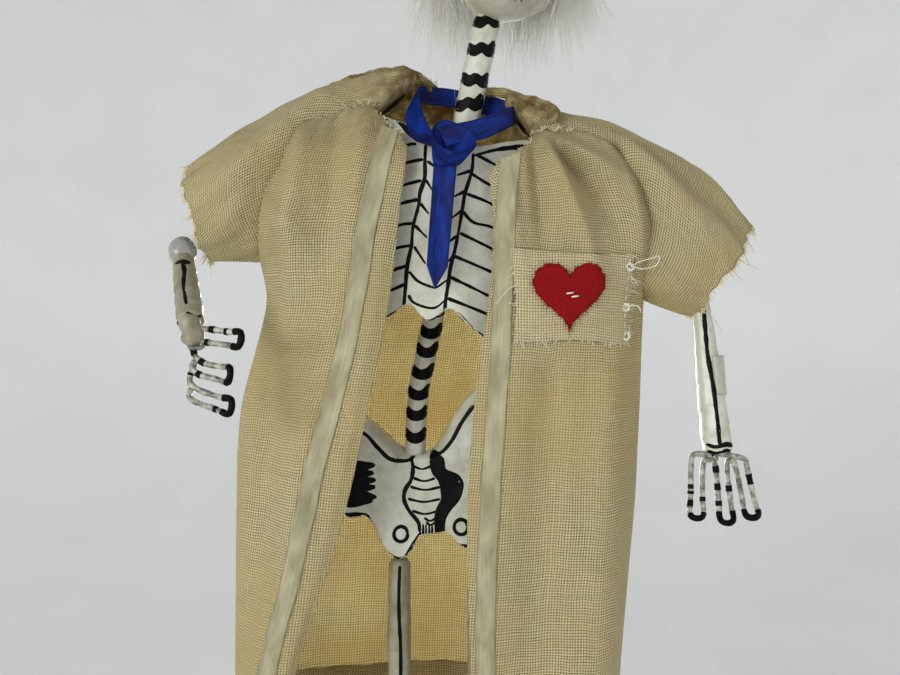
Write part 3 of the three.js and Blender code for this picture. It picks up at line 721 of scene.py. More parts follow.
def pelvis():
    half = spline(PELVIS_HALF, 110)
    outline = np.vstack([half, half[::-1] * (-1, 1)])
    made = melted("pelvis", *plate(outline, 7.2), BONE, voxel=0.5, soften=5, place=pelvis_place,
                  bumps=(8, 0.2), seed=3)
    put(made, ROOT, "painted_paper", "pelvis")
    ink = Painter(made)
    ink.stroke([(-28, 191.5), (-21.2, 189.8), (-16.7, 185.1), (-12.9, 181.6), (-7.9, 181), (-5.7, 182.2),
                (-4.1, 184.5)], (1, 1.1, 1.2, 1.1, 1))
    ink.stroke([(13.6, 198.7), (9.8, 193.3), (6.7, 187.6), (3.2, 183.5), (1, 183.8), (-1.6, 184.5),
                (-3.8, 184.8)], (1.1, 1.2, 1, 0.8))
    ink.stroke([(-6.3, 182.2), (-5.7, 178.8), (-6.3, 175), (-8.2, 171.8), (-8.5, 168.7), (-6.9, 165.2),
                (-4.1, 161.7), (-3.5, 158.5)], (1, 1.3, 1.1, 0.9))
    ink.patch([(0.3, 183.5), (3.5, 181.6), (4.4, 178.1), (8.5, 176.2), (9.8, 173.1), (8.5, 169),
               (5.4, 164.9), (4.1, 161.7), (3.8, 155.4), (2.2, 155.4), (1.6, 160.4), (1.9, 164.9),
               (3.5, 168.7), (3.5, 171.8), (2.5, 175), (0.6, 177.5), (0, 180.7)])
    for z, left, right in ((179.1, -5.7, 0), (175.3, -5.7, 1.3), (172.5, -6.6, 2.9), (168.7, -7.3, 2.9),
                           (164.9, -6, 2.2), (162.7, -2.2, 1.6), (161.4, -1.6, 1.3)):
        ink.stroke([(left, z + 0.3), ((left + right) / 2, z - 0.7), (right, z + 0.2)], (0.9, 0.6, 0.8))
    for x in (-2.5, -1.6, -0.6, 0.3, 2.5):
        ink.stroke([(x, 161.1), (x + 0.1, 156)], (0.5, 0.7, 0.5))
    for x, z in ((-9.5, 157.9), (9.5, 160.1)):
        ink.ring(x, z, 2.2, 1.1)
    ink.patch([(-28, 181), (-23.4, 180.7), (-21.5, 180.4), (-18, 179.7), (-21.5, 178.1), (-18.3, 177.2),
               (-21.5, 175.9), (-17.7, 175), (-21.5, 173.7), (-17.7, 172.8), (-21.5, 171.5), (-17.5, 169.6),
               (-21.5, 169.4), (-18.6, 168.7), (-22.5, 167.4), (-26.2, 167.1), (-28.5, 169)])
    ink.stroke([(-30, 165.5), (-27.2, 164.2), (-21.8, 164.2), (-19.6, 163), (-17.7, 157.9), (-14.8, 152.9),
                (-11, 150.3), (-8.2, 150.6), (-6, 154.1), (-3.1, 158.5)], (1.1, 1.3, 1.2, 1))
    ink.stroke([(4.1, 156.7), (7.3, 154.8), (11.1, 154.1), (14, 155.5), (16.4, 160.5), (19.5, 166)],
               (0.9, 1.2, 1))
    ink.stroke([(24, 203.5), (19, 201.6), (15.5, 199.4)], (0.8, 1.2, 1))
    ink.made("pelvis_lines", ROOT)


# ---- Spine ----
SPINE = [(-5.1, 1, 180), (-5, 1, 190), (-4.1, 1.5, 203), (-1.3, 2.5, 217), (3.2, 3, 240), (8, 3, 265),
         (11.2, 2.5, 289), (14, 2, 303), (17.4, 2, 319.5), (18.4, 2, 325)]
BACKBONE_Z = (189.5, 196.6, 203.1, 209.7, 216.7, 222.7)
HIDDEN_BACKBONE_Z = (229.5, 236.2, 243, 249.8, 256.5, 263.2, 270, 276.7, 283.5)
CHEVRON = ((-3.5, 1.8), (-1.7, 0.2), (0, -0.4), (1.7, 0.2), (3.5, 1.8), (3.3, -0.8), (1.8, -2.3), (0, -2.7),
           (-1.8, -2.3), (-3.3, -0.8))
# A zigzag band; its sideways numbers are shares of the mark's width.
NECK_BAND = ((-0.5, 2), (-0.25, 0.3), (0, 1), (0.25, 0.3), (0.5, 2.2), (0.5, -0.8), (0.25, -2.5), (0, -1.5),
             (-0.25, -2.5), (-0.5, -1))
NECK_MARKS = ((11.6, 295, 9), (14.2, 302.6, 8.4), (16, 312.4, 8.8), (18, 321.5, 8.8))


def spine():
    radii = (3.4, 3.5, 3.6, 3.6, 3.6, 3.7, 4.1, 4.5, 4.6, 4.6)
    made = wrapped("spine", SPINE, radii, ROOT, 13, 5, BONE)
    line = spline(SPINE, 200)
    front, back = Painter(made), Painter(made, back=True)
    for name, painter in (("spine_marks", front), ("spine_marks_back", back)):
        for z in BACKBONE_Z + HIDDEN_BACKBONE_Z:
            x = np.interp(z, line[:, 2], line[:, 0])
            painter.patch([(x + a, z + b) for a, b in CHEVRON], step=0.3)
        for x, z, wide in NECK_MARKS:
            lift = rng.uniform(-0.5, 0.8)
            painter.patch([(x + a * wide, z + b + 2 * lift * a) for a, b in NECK_BAND], step=0.3)
        painter.made(name, ROOT)


# ---- Ribcage ----
RIB_WIDTHS = (1, 0.8, 0.9, 0.6)


def ribs_place(p):
    u, w = p[:, 0], p[:, 2]
    x, z = tilted(u, w, 0.105, 2, 250)
    return np.column_stack([x, p[:, 1] - 16 + 9 * (u / 32) ** 2 + 3.5 * smooth(20, 38, w), z])


def ribcage():
    half = spline([(0, -25.4), (3, -23.4), (6.5, -20.7), (12, -24.8), (20, -30.7), (28, -36.6), (31.4, -38),
                   (32, -34), (32, 0), (32, 22), (31, 31), (26, 34.2), (20, 33.2), (14, 31.2), (9, 29.5),
                   (5, 28), (0, 27)], 120)
    other = half[::-1]
    raised = smooth(4, 14, other) * smooth(20, 26, other)[:, 1:]
    other = other * (-1, 1) + (0, 3.5) * raised[:, :1]
    outline = np.vstack([half, other])
    made = melted("ribcage", *plate(outline, 2.2), BONE, voxel=0.45, soften=3, place=ribs_place,
                  bumps=(10, 0.16), seed=7)
    put(made, ROOT, "painted_paper", "ribcage")
    ink = Painter(made)
    left_line = [(-1.4, 278.9), (-1.6, 273.5), (-1.7, 268.4), (-3.1, 263.9), (-3.6, 259.8), (-5.2, 253.7),
                 (-5.7, 248.1), (-6.9, 242.1), (-7.5, 235.5), (-8, 229.4)]
    right_line = [(13.1, 276.1), (12.6, 270.5), (10.6, 263.9), (9.8, 259.3), (8.6, 252.2), (7.5, 246.6),
                  (6.2, 241.5), (5.5, 236.5), (4.7, 231.4), (4.4, 227.1)]
    for line in (left_line, right_line):
        ink.stroke(line, (0.9, 1.1, 0.9, 1.2, 1))
    for (x, z), (end_x, end_z) in (
            ((-4.2, 279), (-6.7, 278.9)), ((-2.1, 274.1), (-6.7, 273.3)), ((-2.6, 267.7), (-8.2, 266.3)),
            ((-3.4, 261.9), (-8.7, 260.8)), ((-5.2, 254.6), (-9.2, 254.2)), ((-5.9, 247.9), (-10.2, 247.2)),
            ((-6.9, 241.8), (-11.3, 240.5)), ((-7.7, 236.2), (-12, 234.4)), ((-8.2, 229.4), (-13.5, 226.1))):
        ink.stroke([(x, z), (end_x, end_z), (end_x - 8, end_z - 2.6), (end_x - 14, end_z - 7)], RIB_WIDTHS)
    for rib in (
            ((13.9, 275.8), (18.7, 273.3)), ((12.6, 269.7), (16.4, 267.4)), ((11.1, 263.6), (17.9, 261.1)),
            ((9.8, 258.3), (13.1, 255), (18.7, 253.7)), ((9, 251.7), (18.7, 247.1)),
            ((7, 244.8), (18.4, 240.1)), ((5.7, 238.5), (17.4, 232.9)), ((5.2, 231.9), (16.7, 227.4))):
        x, z = rib[-1]
        ink.stroke([*rib, (x + 6, z - 3.2), (x + 11, z - 8)], RIB_WIDTHS)
    ink.stroke([(4.5, 227.1), (8, 227.1), (11.6, 223.3), (16.4, 217.7), (23, 211)], (1.2, 1.7, 1.5, 1))
    ink.stroke([(12.1, 222.8), (16.2, 220.5), (21, 218.5)], (1, 0.8, 0.5))
    for sternum in (
            ((-0.9, 273.5), (1.7, 271.5)), ((-1.4, 267.9), (0.7, 264.6)), ((-3.1, 260.8), (-0.3, 257.3)),
            ((-4.7, 254), (-0.9, 250.2)), ((-4.9, 247.6), (-1.4, 242.3)), ((12.6, 270.7), (8, 269.2)),
            ((10.8, 264.4), (7, 262.6)), ((9.8, 258.6), (6.2, 256)), ((8.3, 250.9), (5.5, 248.9)),
            ((7.3, 245.1), (5.2, 242.8)),
            ((-6.4, 240), (-3.6, 237), (0.9, 235.2), (2.4, 235.5), (5.2, 237.5)),
            ((-6.7, 232.9), (-4.7, 230.4), (0.9, 228.9), (4.7, 231.4)),
            ((-7.2, 229.9), (-1.1, 225.1), (4.5, 227.8))):
        ink.stroke(sternum, (1, 0.7, 0.5))
    ink.stroke([(13.2, 275.4), (22, 278), (31.4, 279.6)], (0.7, 1, 1.6, 1.2))
    ink.stroke([(-15.3, 287), (-11.3, 288.5), (-6.4, 282.4), (-4, 280)], (1.2, 1.6, 1.2, 0.6))
    ink.made("rib_lines", ROOT)
    ink = Painter(made, back=True)
    for level in np.arange(232, 276, 6.2):
        for side in (-1, 1):
            ink.stroke([(5 + side * 8, level), (4 + side * 17, level - 1), (2 + side * 27, level - 8)],
                       (0.9, 0.8, 0.6))
    ink.made("rib_lines_back", ROOT)


# ---- Arms and hands ----
SHOULDER = {"right": (-36, 2, 275), "left": (40, 2, 273)}
ELBOW = {"right": (-77.5, -8, 247), "left": (84, -6, 237)}
WRIST = {"right": (-67.5, -36, 224), "left": (89, -9, 188)}
# The forearms' radii from elbow to wrist, how far short of the wrist each stops, and its paint.
FOREARM = {
    "right": ((3.1, 3.6, 3.7, 3.9, 4.1, 4), 0, SHADE_AND_GRIME),
    "left": ((2.7, 3.1, 3.8, 4.3, 4.6, 4.8), -4, BONE),
}
ELBOW_GAP = 4.6


def between(a, b, start, end):
    """Points on the line from a to b, start and end millimetres short of its ends."""
    a, b = np.array(a, float), np.array(b, float)
    length = np.linalg.norm(b - a)
    share = np.linspace(start / length, 1 - end / length, 4)[:, None]
    return a + (b - a) * share


def arms():
    for number, side in enumerate(("right", "left")):
        upper, fore = f"upper_arm_{side}_body", f"forearm_{side}_body"
        shoulder, elbow, wrist = SHOULDER[side], ELBOW[side], WRIST[side]
        wrapped(f"upper_arm_{side}", between(shoulder, elbow, 9.5, ELBOW_GAP), (2.4, 3, 3.2, 3.2, 2.9), upper,
                5, 61 + number, BONE)
        radii, short, look = FOREARM[side]
        bone = wrapped(f"forearm_{side}", between(elbow, wrist, ELBOW_GAP, short), radii, fore,
                       5.5, 71 + number, look)
        x, y, z = elbow
        shapes = [orb(elbow, (4.5, 4.4, 4.5))]
        if side == "right":
            shapes.append(orb((x + 0.9, y - 1.2, z - 1.5), (3.6, 3.2, 3.2)))
        ball = melted(f"elbow_{side}", *joined(*shapes), GREY, voxel=0.4, bumps=(5, 0.18), seed=81 + number)
        put(ball, upper, "painted_paper", f"elbow_{side}")
        ink = Painter(bone)
        if side == "left":
            ink.stroke([(84.9, 230), (85.6, 216), (87.2, 204), (88.2, 194), (88.7, 187)],
                       (1.2, 1.3, 1.1, 1.2))
            for z, wide in ((186.9, 4.1), (184.9, 3.8)):
                ink.stroke([(89.2 - wide, z + 0.2), (87.4, z - 0.5), (90.6, z + 0.3), (89.2 + wide, z - 0.2)],
                           (1.3, 1, 1.5, 1.2))
        else:
            ink.stroke([(-77.3, 242.4), (-74.6, 243), (-72.4, 242.4)], (1, 1.4, 0.8))
            ink.stroke([(-74.6, 242.6), (-73.1, 239.7), (-71.8, 235), (-69, 229.5)], (1, 1.2, 0.8, 0.9))
            ink.stroke([(-68.4, 227.2), (-66, 225.6), (-64.6, 226.4)], (0.8, 1.2, 0.5))
            ink.stroke([(-71.4, 224.5), (-70.4, 221.6)], (0.7, 0.9))
        ink.made(f"forearm_line_{side}", fore)
    line = spline(between(ELBOW["left"], WRIST["left"], ELBOW_GAP, FOREARM["left"][1]), 60)

    def strip(u, v):
        z = mix(202.5, 214.5, v)
        x, y = (np.interp(-z, -line[:, 2], line[:, column]) for column in (0, 1))
        turn = mix(0.12, 1.75, u)
        reach = 4.75 + 0.25 * np.sin(5 * u + 3 * v) + 0.5 * smooth(0.7, 1, u)
        return x + reach * np.sin(turn), y - reach * np.cos(turn), z

    put(cloth("paper_strip", strip, 18, 14, PAPER, 0.3), "forearm_left_body", "painted_paper")


def finger_path(origin, across, down, out, fingers, closed):
    """The middle line of a hand bent from one wire. Each finger is (place along the bar, length, splay).
    In a closed hand the wire comes back to where each finger starts; otherwise it goes over to the next."""
    half = 1.85  # of a finger's width
    across, down, out = (np.array(v, float) for v in (across, down, out))

    def place(a, d, o=0):
        return origin + across * a + down * d + out * o

    first = fingers[0][0]
    path = [place(0, -2), place(0.2, -0.6), place(first * 0.5, -0.3), place(first - half + 1, 0)]
    for number, (a, long, splay) in enumerate(fingers):
        middle, tip = a + 0.7 * splay, a + splay
        path += [place(a - half, 2.6), place(middle - half, long * 0.7),
                 place(tip - half - 0.3, long * 0.93, 1.6), place(tip - half * 0.6, long, 3.4),
                 place(tip + half * 0.6, long, 3.4), place(tip + half + 0.3, long * 0.93, 1.6),
                 place(middle + half, long * 0.7), place(a + half, 3)]
        if closed:
            path += [place(a + half - 0.6, 0.8, 0.5), place(a, -0.4, 0.6), place(a - half + 0.2, 0.3, 0)]
        if number + 1 < len(fingers):
            next_a = fingers[number + 1][0]
            path.append(place((a + next_a) / 2, -0.6 if closed else 1.4))
    if not closed:
        path += [place(a + half - 0.8, 0.6), place(a * 0.6, -0.4), place(0.6, -0.8)]
    return np.array(path)


def hand(side, origin, across, down, out, fingers, seed, closed=False):
    """A hand of painted wire, with black finger tips and black marks here and there."""
    own = np.random.default_rng(seed)
    base = np.array(WRIST[side]) + origin
    path = spline(finger_path(base, across, down, out, fingers, closed), 620)
    count = len(path)
    drips = np.convolve(own.normal(0, 1, count + 20), np.ones(9) / 9, "same")[10:-10]
    body = f"hand_{side}_body"
    put(mesh_object(f"hand_{side}", *sweep(path, 0.86 + 0.16 * drips, 10), WIRE_PAINT), body, "painted_wire",
        f"hand_wire_{side}")
    reach = (path - base) @ np.array(down, float)
    bands = Batch()
    black = np.zeros(count, bool)
    for _, long, _ in fingers:
        black |= reach > long - 0.5
    marks = own.uniform(0, count, 15).astype(int)
    for mark in marks:
        black[mark:mark + own.integers(5, 11)] = True
    edges = np.flatnonzero(np.diff(np.r_[0, black.astype(int), 0]))
    for start, end in edges.reshape(-1, 2):
        if end - start > 3:
            bands.add(*sweep(path[start:end], 1.0 + 0.12 * drips[start:end], 10))
    put(bands.made(f"hand_bands_{side}", INK), body, "painted_wire")


def hands():
    across = np.array([-0.12, 0, -1]) / np.hypot(0.12, 1)
    down = np.array([0.95, -0.25, -0.16]) / np.sqrt(0.95**2 + 0.25**2 + 0.16**2)
    hand("right", (2.1, -3.2, -6.8), across, down, (0.1, -0.4, 0.1),
         [(-3.8, 13.4, -0.4), (5.6, 11.4, 0.4), (13.4, 13, 1.2)], 91, closed=True)
    lump = joined(orb((-66.2, -39.6, 220.6), (3.2, 3, 3.6)), orb((-67.6, -38.4, 224), (3, 3, 3)))
    palm = melted("palm_right", *lump, SHADE_AND_GRIME, voxel=0.4, bumps=(4, 0.2), seed=95)
    put(palm, "forearm_right_body", "painted_paper")
    across = np.array([1, 0, -0.05]) / np.hypot(0.05, 1)
    hand("left", (-2.4, -0.4, -4.6), across, (0.05, 0, -1), (-0.2, -1, 0),
         [(-4, 19, -1), (3.4, 20, 0.8), (9.6, 18, 2.4)], 92)


# ---- Skull and hair ----
HEAD = {"x": 23.5, "y": 1.0, "z": 341.0, "tilt": 0.17}
SKULL_HALF = (19.6, 22.6, 24.3)


def head_place(points):
    x, z = tilted(points[:, 0], points[:, 2], HEAD["tilt"], HEAD["x"], HEAD["z"])
    return np.column_stack([x, points[:, 1] + HEAD["y"], z])


def skull_shape(lon, lat):
    """The skull's surface about its own middle: lon is 0 at the face and turns to its left."""
    unit = stacked(np.cos(lat) * np.sin(lon), -np.cos(lat) * np.cos(lon), np.sin(lat))
    x, y, z = (unit * SKULL_HALF).reshape(-1, 3).T
    jaw = smooth(-2, -17, z)
    front = smooth(-2, -12, y)
    x = x * (1 - 0.2 * jaw * smooth(18, 2, y))
    y = y - 3 * jaw * smooth(0, 20, y)
    z = z + 1.5 * jaw * front + 4.4 * smooth(-8, -24, z)

    def spot(cx, cz, wide, high):
        return np.exp(-(((np.abs(x) - cx) / wide) ** 2 + ((z - cz) / high) ** 2) ** 1.4)

    hollows = 5.2 * spot(7.6, 2.6, 5, 4.6) + 3.2 * spot(0, -5.2, 2, 3)
    cheeks, brows = 1.6 * spot(11.5, -4.6, 4, 2.6), 1.2 * spot(7.8, 9.4, 6.5, 1.9)
    mouth, chin = 1.8 * spot(0, -13, 7.5, 4), 1.2 * spot(0, -20.5, 5, 2.6)
    y = y + front * (hollows - cheeks - brows - mouth - chin)
    return np.column_stack([x, y, z])


def skull():
    lon = circle(150)[:, None]
    lat = np.linspace(-1.57, 1.57, 110)[None, :]
    made = mesh_object("skull", head_place(skull_shape(lon, lat)), grid_faces(150, 110, closed=True), SKULL)
    uneven(made, 13, 0.35, 13)
    put(made, "head", "painted_paper", "skull")
    ink = Painter(made)

    def on_face(points):
        x, z = tilted(*np.array(points, float).T, HEAD["tilt"], HEAD["x"], HEAD["z"])
        return np.column_stack([x, z])

    turn = circle(26)
    for side in (-1, 1):
        ink.patch(on_face(np.column_stack([side * 7.6 + 4.6 * np.cos(turn), 2.6 + 4.3 * np.sin(turn)])))
        ink.patch(on_face([(side * 0.5, -2.8), (side * 2.3, -6.8), (side * 0.6, -7.4)]))
        ink.stroke(on_face([(side * 13, 8.2), (side * 8, 10.4), (side * 3, 8.6)]), (0.5, 1.1, 0.6))
        ink.stroke(on_face([(side * 15.5, -3), (side * 12, -7.5), (side * 8.5, -9)]), (0.5, 1, 0.5))
    ink.stroke(on_face([(-9, -12.2), (-4, -13.2), (0, -13.4), (4, -13.2), (9, -12.2)]), (0.5, 0.8, 0.5))
    for x in np.linspace(-7.5, 7.5, 9):
        top, low = -10.6 - 0.01 * x * x, -16 + 0.02 * x * x
        ink.stroke(on_face([(x, top), (x * 0.98, low)]), (0.4, 0.7, 0.4))
    ink.made("skull_lines", "head")


def hair():
    """Long wisps that grow round the back and sides of the skull and hang below the chin."""
    count, steps = 1900, 9
    lon = rng.uniform(1.02, 2 * np.pi - 1.02, count)
    z = rng.uniform(-6, 13, count)
    lat = np.arcsin(z / SKULL_HALF[2])
    root = head_place(skull_shape(lon, lat))
    away = np.column_stack([np.sin(lon), -np.cos(lon)])
    bulge = rng.uniform(2.5, 8, count)[:, None]
    foot_z = np.minimum(rng.normal(320, 5.5, count), root[:, 2] - 6)
    foot_z = np.where(rng.uniform(size=count) < 0.04, foot_z - rng.uniform(4, 15, count), foot_z)
    clump = rng.normal(0, 1, (80, 2))[rng.integers(0, 80, count)]
    flare = rng.normal(0, 2.8, (count, 2)) + 3.2 * clump
    t = np.linspace(0, 1, steps)
    paths = np.empty((count, steps, 3))
    curl = rng.uniform(0, 2 * np.pi, (count, 2))
    for i, share in enumerate(t):
        out = away * bulge * np.sin(min(share * 1.7, 1.9)) + flare * share**1.6 * 1.4
        sway = 0.7 * share * np.sin(curl + share * 7)
        paths[:, i, :2] = root[:, :2] - away * 0.6 * (1 - share) + out + sway
        paths[:, i, 2] = root[:, 2] + 2.2 * np.sin(np.pi * share**0.7) - (root[:, 2] - foot_z) * share**1.25
    turn = np.array([0, 2.1, 4.2])
    ring = np.stack([np.cos(turn), np.sin(turn), 0 * turn], axis=-1)
    reach = 0.14 * np.clip(1.15 - t, 0.12, 1)
    points = paths[:, :, None, :] + ring[None, None] * reach[None, :, None, None]
    faces = grid_faces(3, steps, closed=True)
    order = np.arange(steps * 3).reshape(steps, 3).T.ravel()
    faces = order[faces]
    every = (faces[None] + np.arange(count)[:, None, None] * steps * 3).reshape(-1, 4)
    made = mesh_object("hair", points, every, FUR)
    put(made, "head", "white_fur", "hair_right", "hair_back", "hair_left")


# ---- Coat ----
# z, side seams (right, left), front edges (right, left), depth in front and behind, ribbon middles
COAT = np.array(spline([
    (102, -62, 59.5, -45, 12.6, 25, 22, -52, 16), (119, -62, 60.5, -40, 12.3, 25, 23, -48.2, 16.7),
    (150, -62, 63.3, -30.5, 11.2, 25, 23, -41, 16.5), (169, -61.8, 65, -24.9, 11.2, 25, 23, -36.7, 17.6),
    (185, -61.5, 65.8, -21.2, 12, 25, 22.5, -32.6, 19), (200, -60, 66.5, -18.2, 13.2, 25, 22, -28.8, 20),
    (216, -55.8, 67, -14.8, 15.3, 25, 21.5, -25.4, 20.6), (231, -52.4, 67.6, -12, 17.4, 25, 21, -22.5, 21.2),
    (245, -53.4, 68.3, -10.2, 18.6, 24.5, 20.5, -19.8, 22.2), (258, -52, 66.8, -9, 18.7, 24, 20, -17.3, 22.9),
    (270, -49, 62.3, -7.4, 17.6, 22.5, 18, -15, 24), (280, -44, 54, -6.4, 17.5, 19.5, 14, -13.1, 24.8),
    (290, -38, 42, -6.4, 17.5, 13, 10.5, -11, 25.5), (300, -24, 36, -6, 17.5, 10, 9.5, -10, 26),
], 400))
HEM_Z = 102
RIBBON_WIDTH = 6
COTTON_THICK = 0.55
# The columns above that each side uses, where its ribbon ends, and the height of its own top edge, given
# from the side seam (0) to the front edge (1).
SIDES = {
    "right": {"seam": 1, "edge": 3, "ribbon": 7, "ribbon_top": 283.5,
              "top": ((0, 280), (0.2, 285), (0.4, 289.5), (0.75, 295), (0.9, 283), (1, 277))},
    "left": {"seam": 2, "edge": 4, "ribbon": 8, "ribbon_top": 274.5,
             "top": ((0, 272), (0.2, 280), (0.4, 283), (0.7, 284.5), (0.86, 275), (1, 269))},
}
# Folds run from (x, z) to (x, z), with a width and a depth; a negative depth is a hollow.
FOLDS = {
    "right": (((-38, 290), (-47, 215), 5, 2), ((-28, 291), (-31, 240), 3.5, -0.9),
              ((-19, 291), (-25, 235), 3.2, 1.2), ((-47, 250), (-52, 130), 6, -1.8),
              ((-36, 200), (-50, 105), 6, 1.8), ((-52, 262), (-40, 250), 4, 1.4),
              ((-44, 284), (-51, 258), 3, -1.4)),
    "left": (((36, 281), (58, 268), 3, 2.8), ((36, 280), (56, 254), 2.8, -2.6),
             ((35, 280), (50, 240), 2.8, 2.4), ((31, 278), (34, 248), 2.4, -2),
             ((42, 283), (62, 276), 2.4, 1.8), ((55, 212), (52, 110), 7, 2), ((36, 215), (30, 110), 7, -1.6),
             ((63, 232), (64, 140), 3.5, -1.4), ((24, 268), (27, 240), 2, 0.9),
             ((60, 268), (66, 240), 3.2, 1.8)),
}


def coat_at(column, z):
    return np.interp(z, COAT[:, 0], COAT[:, column])


def fold_height(folds, x, z):
    total = 0
    for (ax, az), (bx, bz), width, depth in folds:
        long = np.hypot(bx - ax, bz - az)
        ux, uz = (bx - ax) / long, (bz - az) / long
        along = (x - ax) * ux + (z - az) * uz
        off = (x - ax) * uz - (z - az) * ux
        fade = smooth(-6, 8, along) * smooth(long + 12, long - 14, along)
        total = total + depth * fade * np.exp(-(off / (width * (0.75 + 0.5 * along / long))) ** 2)
    return total


def rumple(x, z, seed, depth=0.45):
    spots = stacked(x, 0 * x, z)
    return lumps(spots, 26, depth, seed) + lumps(spots, 9, depth * 0.35, seed + 1)


def coat_front(side, share, z, off=0.0):
    """A point on a coat front: share is 0 at the side seam and 1 at the front edge."""
    seam, edge = coat_at(SIDES[side]["seam"], z), coat_at(SIDES[side]["edge"], z)
    turn = share * np.pi / 2
    x = seam + (edge - seam) * (1 - np.cos(turn))
    start = 0.4 + 14.6 * smooth(232, 258, z) * smooth(300, 276, z)
    y = -start - (np.maximum(coat_at(5, z), start + 0.5) - start) * np.sin(turn)
    bulge = 2.0 * fold_height(FOLDS[side], x, z) + rumple(x, z, 5 if side == "right" else 8)
    roll = 1.6 * smooth(0.93, 1, share) * smooth(282, 240, z)
    return x, y - bulge * smooth(0, 0.25, share) * smooth(1.06, 0.9, share) + roll - off, z


def coat_front_at(side, x, z, off=0.0):
    seam, edge = coat_at(SIDES[side]["seam"], z), coat_at(SIDES[side]["edge"], z)
    share = np.arccos(np.clip(1 - (x - seam) / (edge - seam), 0, 1)) * 2 / np.pi
    return (x, *coat_front(side, share, z, off)[1:])


def collar_stain(x, z):
    """Brown glue and dirt, strongest along the collar's raw edge."""
    return 0.9 * smooth(42, 16, np.abs(x - 11)) * smooth(268, 292, z)


def ragged(place, count, length, seed, reach=0.11, droop=0.3):
    """Loose thread ends along an edge. place(t) gives a point on the edge and the way out of it."""
    own = np.random.default_rng(seed)
    threads = Batch()
    for t in own.uniform(0, 1, count):
        start, way = place(t)
        way = np.array(way, float) + own.normal(0, 0.5, 3)
        long = length * own.uniform(0.3, 1) * (1 + 1.6 * (own.uniform() < 0.07))
        steps = np.linspace(0, 1, 5)[:, None]
        curl = own.normal(0, 0.32, 3) * long
        path = np.array(start) + way / np.linalg.norm(way) * long * (steps - 0.08) + curl * steps**2
        path[:, 2] -= droop * long * steps[:, 0] ** 2
        threads.add(*sweep(path, reach * np.array([1, 1, 1, 0.9, 0.6]), 4))
    return threads


def coat_fronts():
    for side, data in SIDES.items():
        shares, tops = np.array(data["top"]).T

        def panel(u, v, side=side, shares=shares, tops=tops):
            share = 1 - u if side == "left" else u
            top = np.interp(share, shares, np.convolve(np.pad(tops, 1, "edge"), (0.15, 0.7, 0.15), "valid"))
            z = HEM_Z + (top - HEM_Z) * v + 0.4 * np.sin(share * 40) * smooth(0.03, 0, v)
            frayed = 0.8 * np.sin(share * 61) * smooth(0.2, 0.5, share) * smooth(0.96, 1, v)
            return coat_front(side, share, z + frayed)

        looks = [COTTON, COTTON_INSIDE]
        piece = cloth(f"coat_front_{side}", panel, 110, 190, looks, COTTON_THICK, collar_stain)
        put(piece, ROOT, "coat_cloth", f"coat_front_{side}")

        def hem(t, panel=panel):
            return point_of(panel, t, 0.0), (0, 0, -1)

        def neckline(t, panel=panel, side=side):
            at = 0.45 + 0.5 * t if side == "right" else 0.55 - 0.5 * t
            return point_of(panel, at, 1.0), (0, -0.3, 1)

        threads = Batch()
        for edge, count, length, seed in ((hem, 110, 2.4, 101), (neckline, 60, 2.6, 103)):
            threads.take(ragged(edge, count, length, seed + len(side)))
        put(threads.made(f"coat_front_threads_{side}", THREAD), ROOT, "coat_cloth")


def coat_back_point(u, v):
    top = np.interp(u, (0, 0.12, 0.2, 0.28, 0.37, 0.44, 0.5, 0.6, 0.7, 0.8, 0.92, 1),
                    (280, 286, 296, 304, 305.5, 302, 298, 299, 300.5, 298, 284, 272))
    z = HEM_Z + (top - HEM_Z) * v + 0.5 * np.sin(u * 46) * smooth(0.03, 0, v)
    right, left = coat_at(1, z), coat_at(2, z)
    turn = u * np.pi
    x = mix(right, left, u) + 4 * np.sin(2 * turn) * smooth(290, 250, z)
    start = 0.4 + 7.6 * smooth(240, 262, z)
    y = start + (coat_at(6, z) - start) * np.sin(turn) ** 0.62
    waves = np.sin(x / 6.4 + 1.2) * 1.1 * smooth(0.02, 0.2, u) * smooth(0.98, 0.8, u)
    return x, y + waves * smooth(300, 220, z) + rumple(x, z, 12, 0.5) * np.sin(turn), z


def coat_back():
    def outward(u, v):
        return coat_back_point(1 - u, v)

    def hem_edge(t):
        return point_of(coat_back_point, t, 0.0), (0, 0.2, -1)

    def collar_edge(t):
        return point_of(coat_back_point, 0.32 + 0.42 * t, 1.0), (0, 0.4, 1)

    def facing(u, v):
        x, _, _ = coat_back_point(u, 0.0)
        _, y, _ = coat_back_point(u, v * 0.04)
        return x, y - 0.9, HEM_Z + 0.4 + 7 * v + 0.2 * np.sin(u * 60)

    looks = [THIN_COTTON, COTTON_INSIDE]
    piece = cloth("coat_back", outward, 130, 150, looks, COTTON_THICK, collar_stain)
    put(piece, ROOT, "coat_cloth", "coat_back")
    threads = ragged(hem_edge, 150, 2.2, 111)
    threads.take(ragged(collar_edge, 70, 3, 112))
    put(threads.made("coat_back_threads", THREAD), ROOT, "coat_cloth")
    put(cloth("coat_hem_facing", facing, 130, 8, COTTON_INSIDE, 0.4), ROOT, "coat_cloth")


# The collar's raw edge is rolled up and stiff with glue on both sides of the neck.
ROLLS = (
    ((-32, 1, 300), (-21, -1, 303.4), (-9.4, -1, 305), (-3, 3, 303.6), (-0.6, 6, 300.6)),
    ((16, 3, 299.8), (24.5, -1, 297.6), (33, -4, 294.4), (39, -7, 290.5), (37, -10, 286)),
)


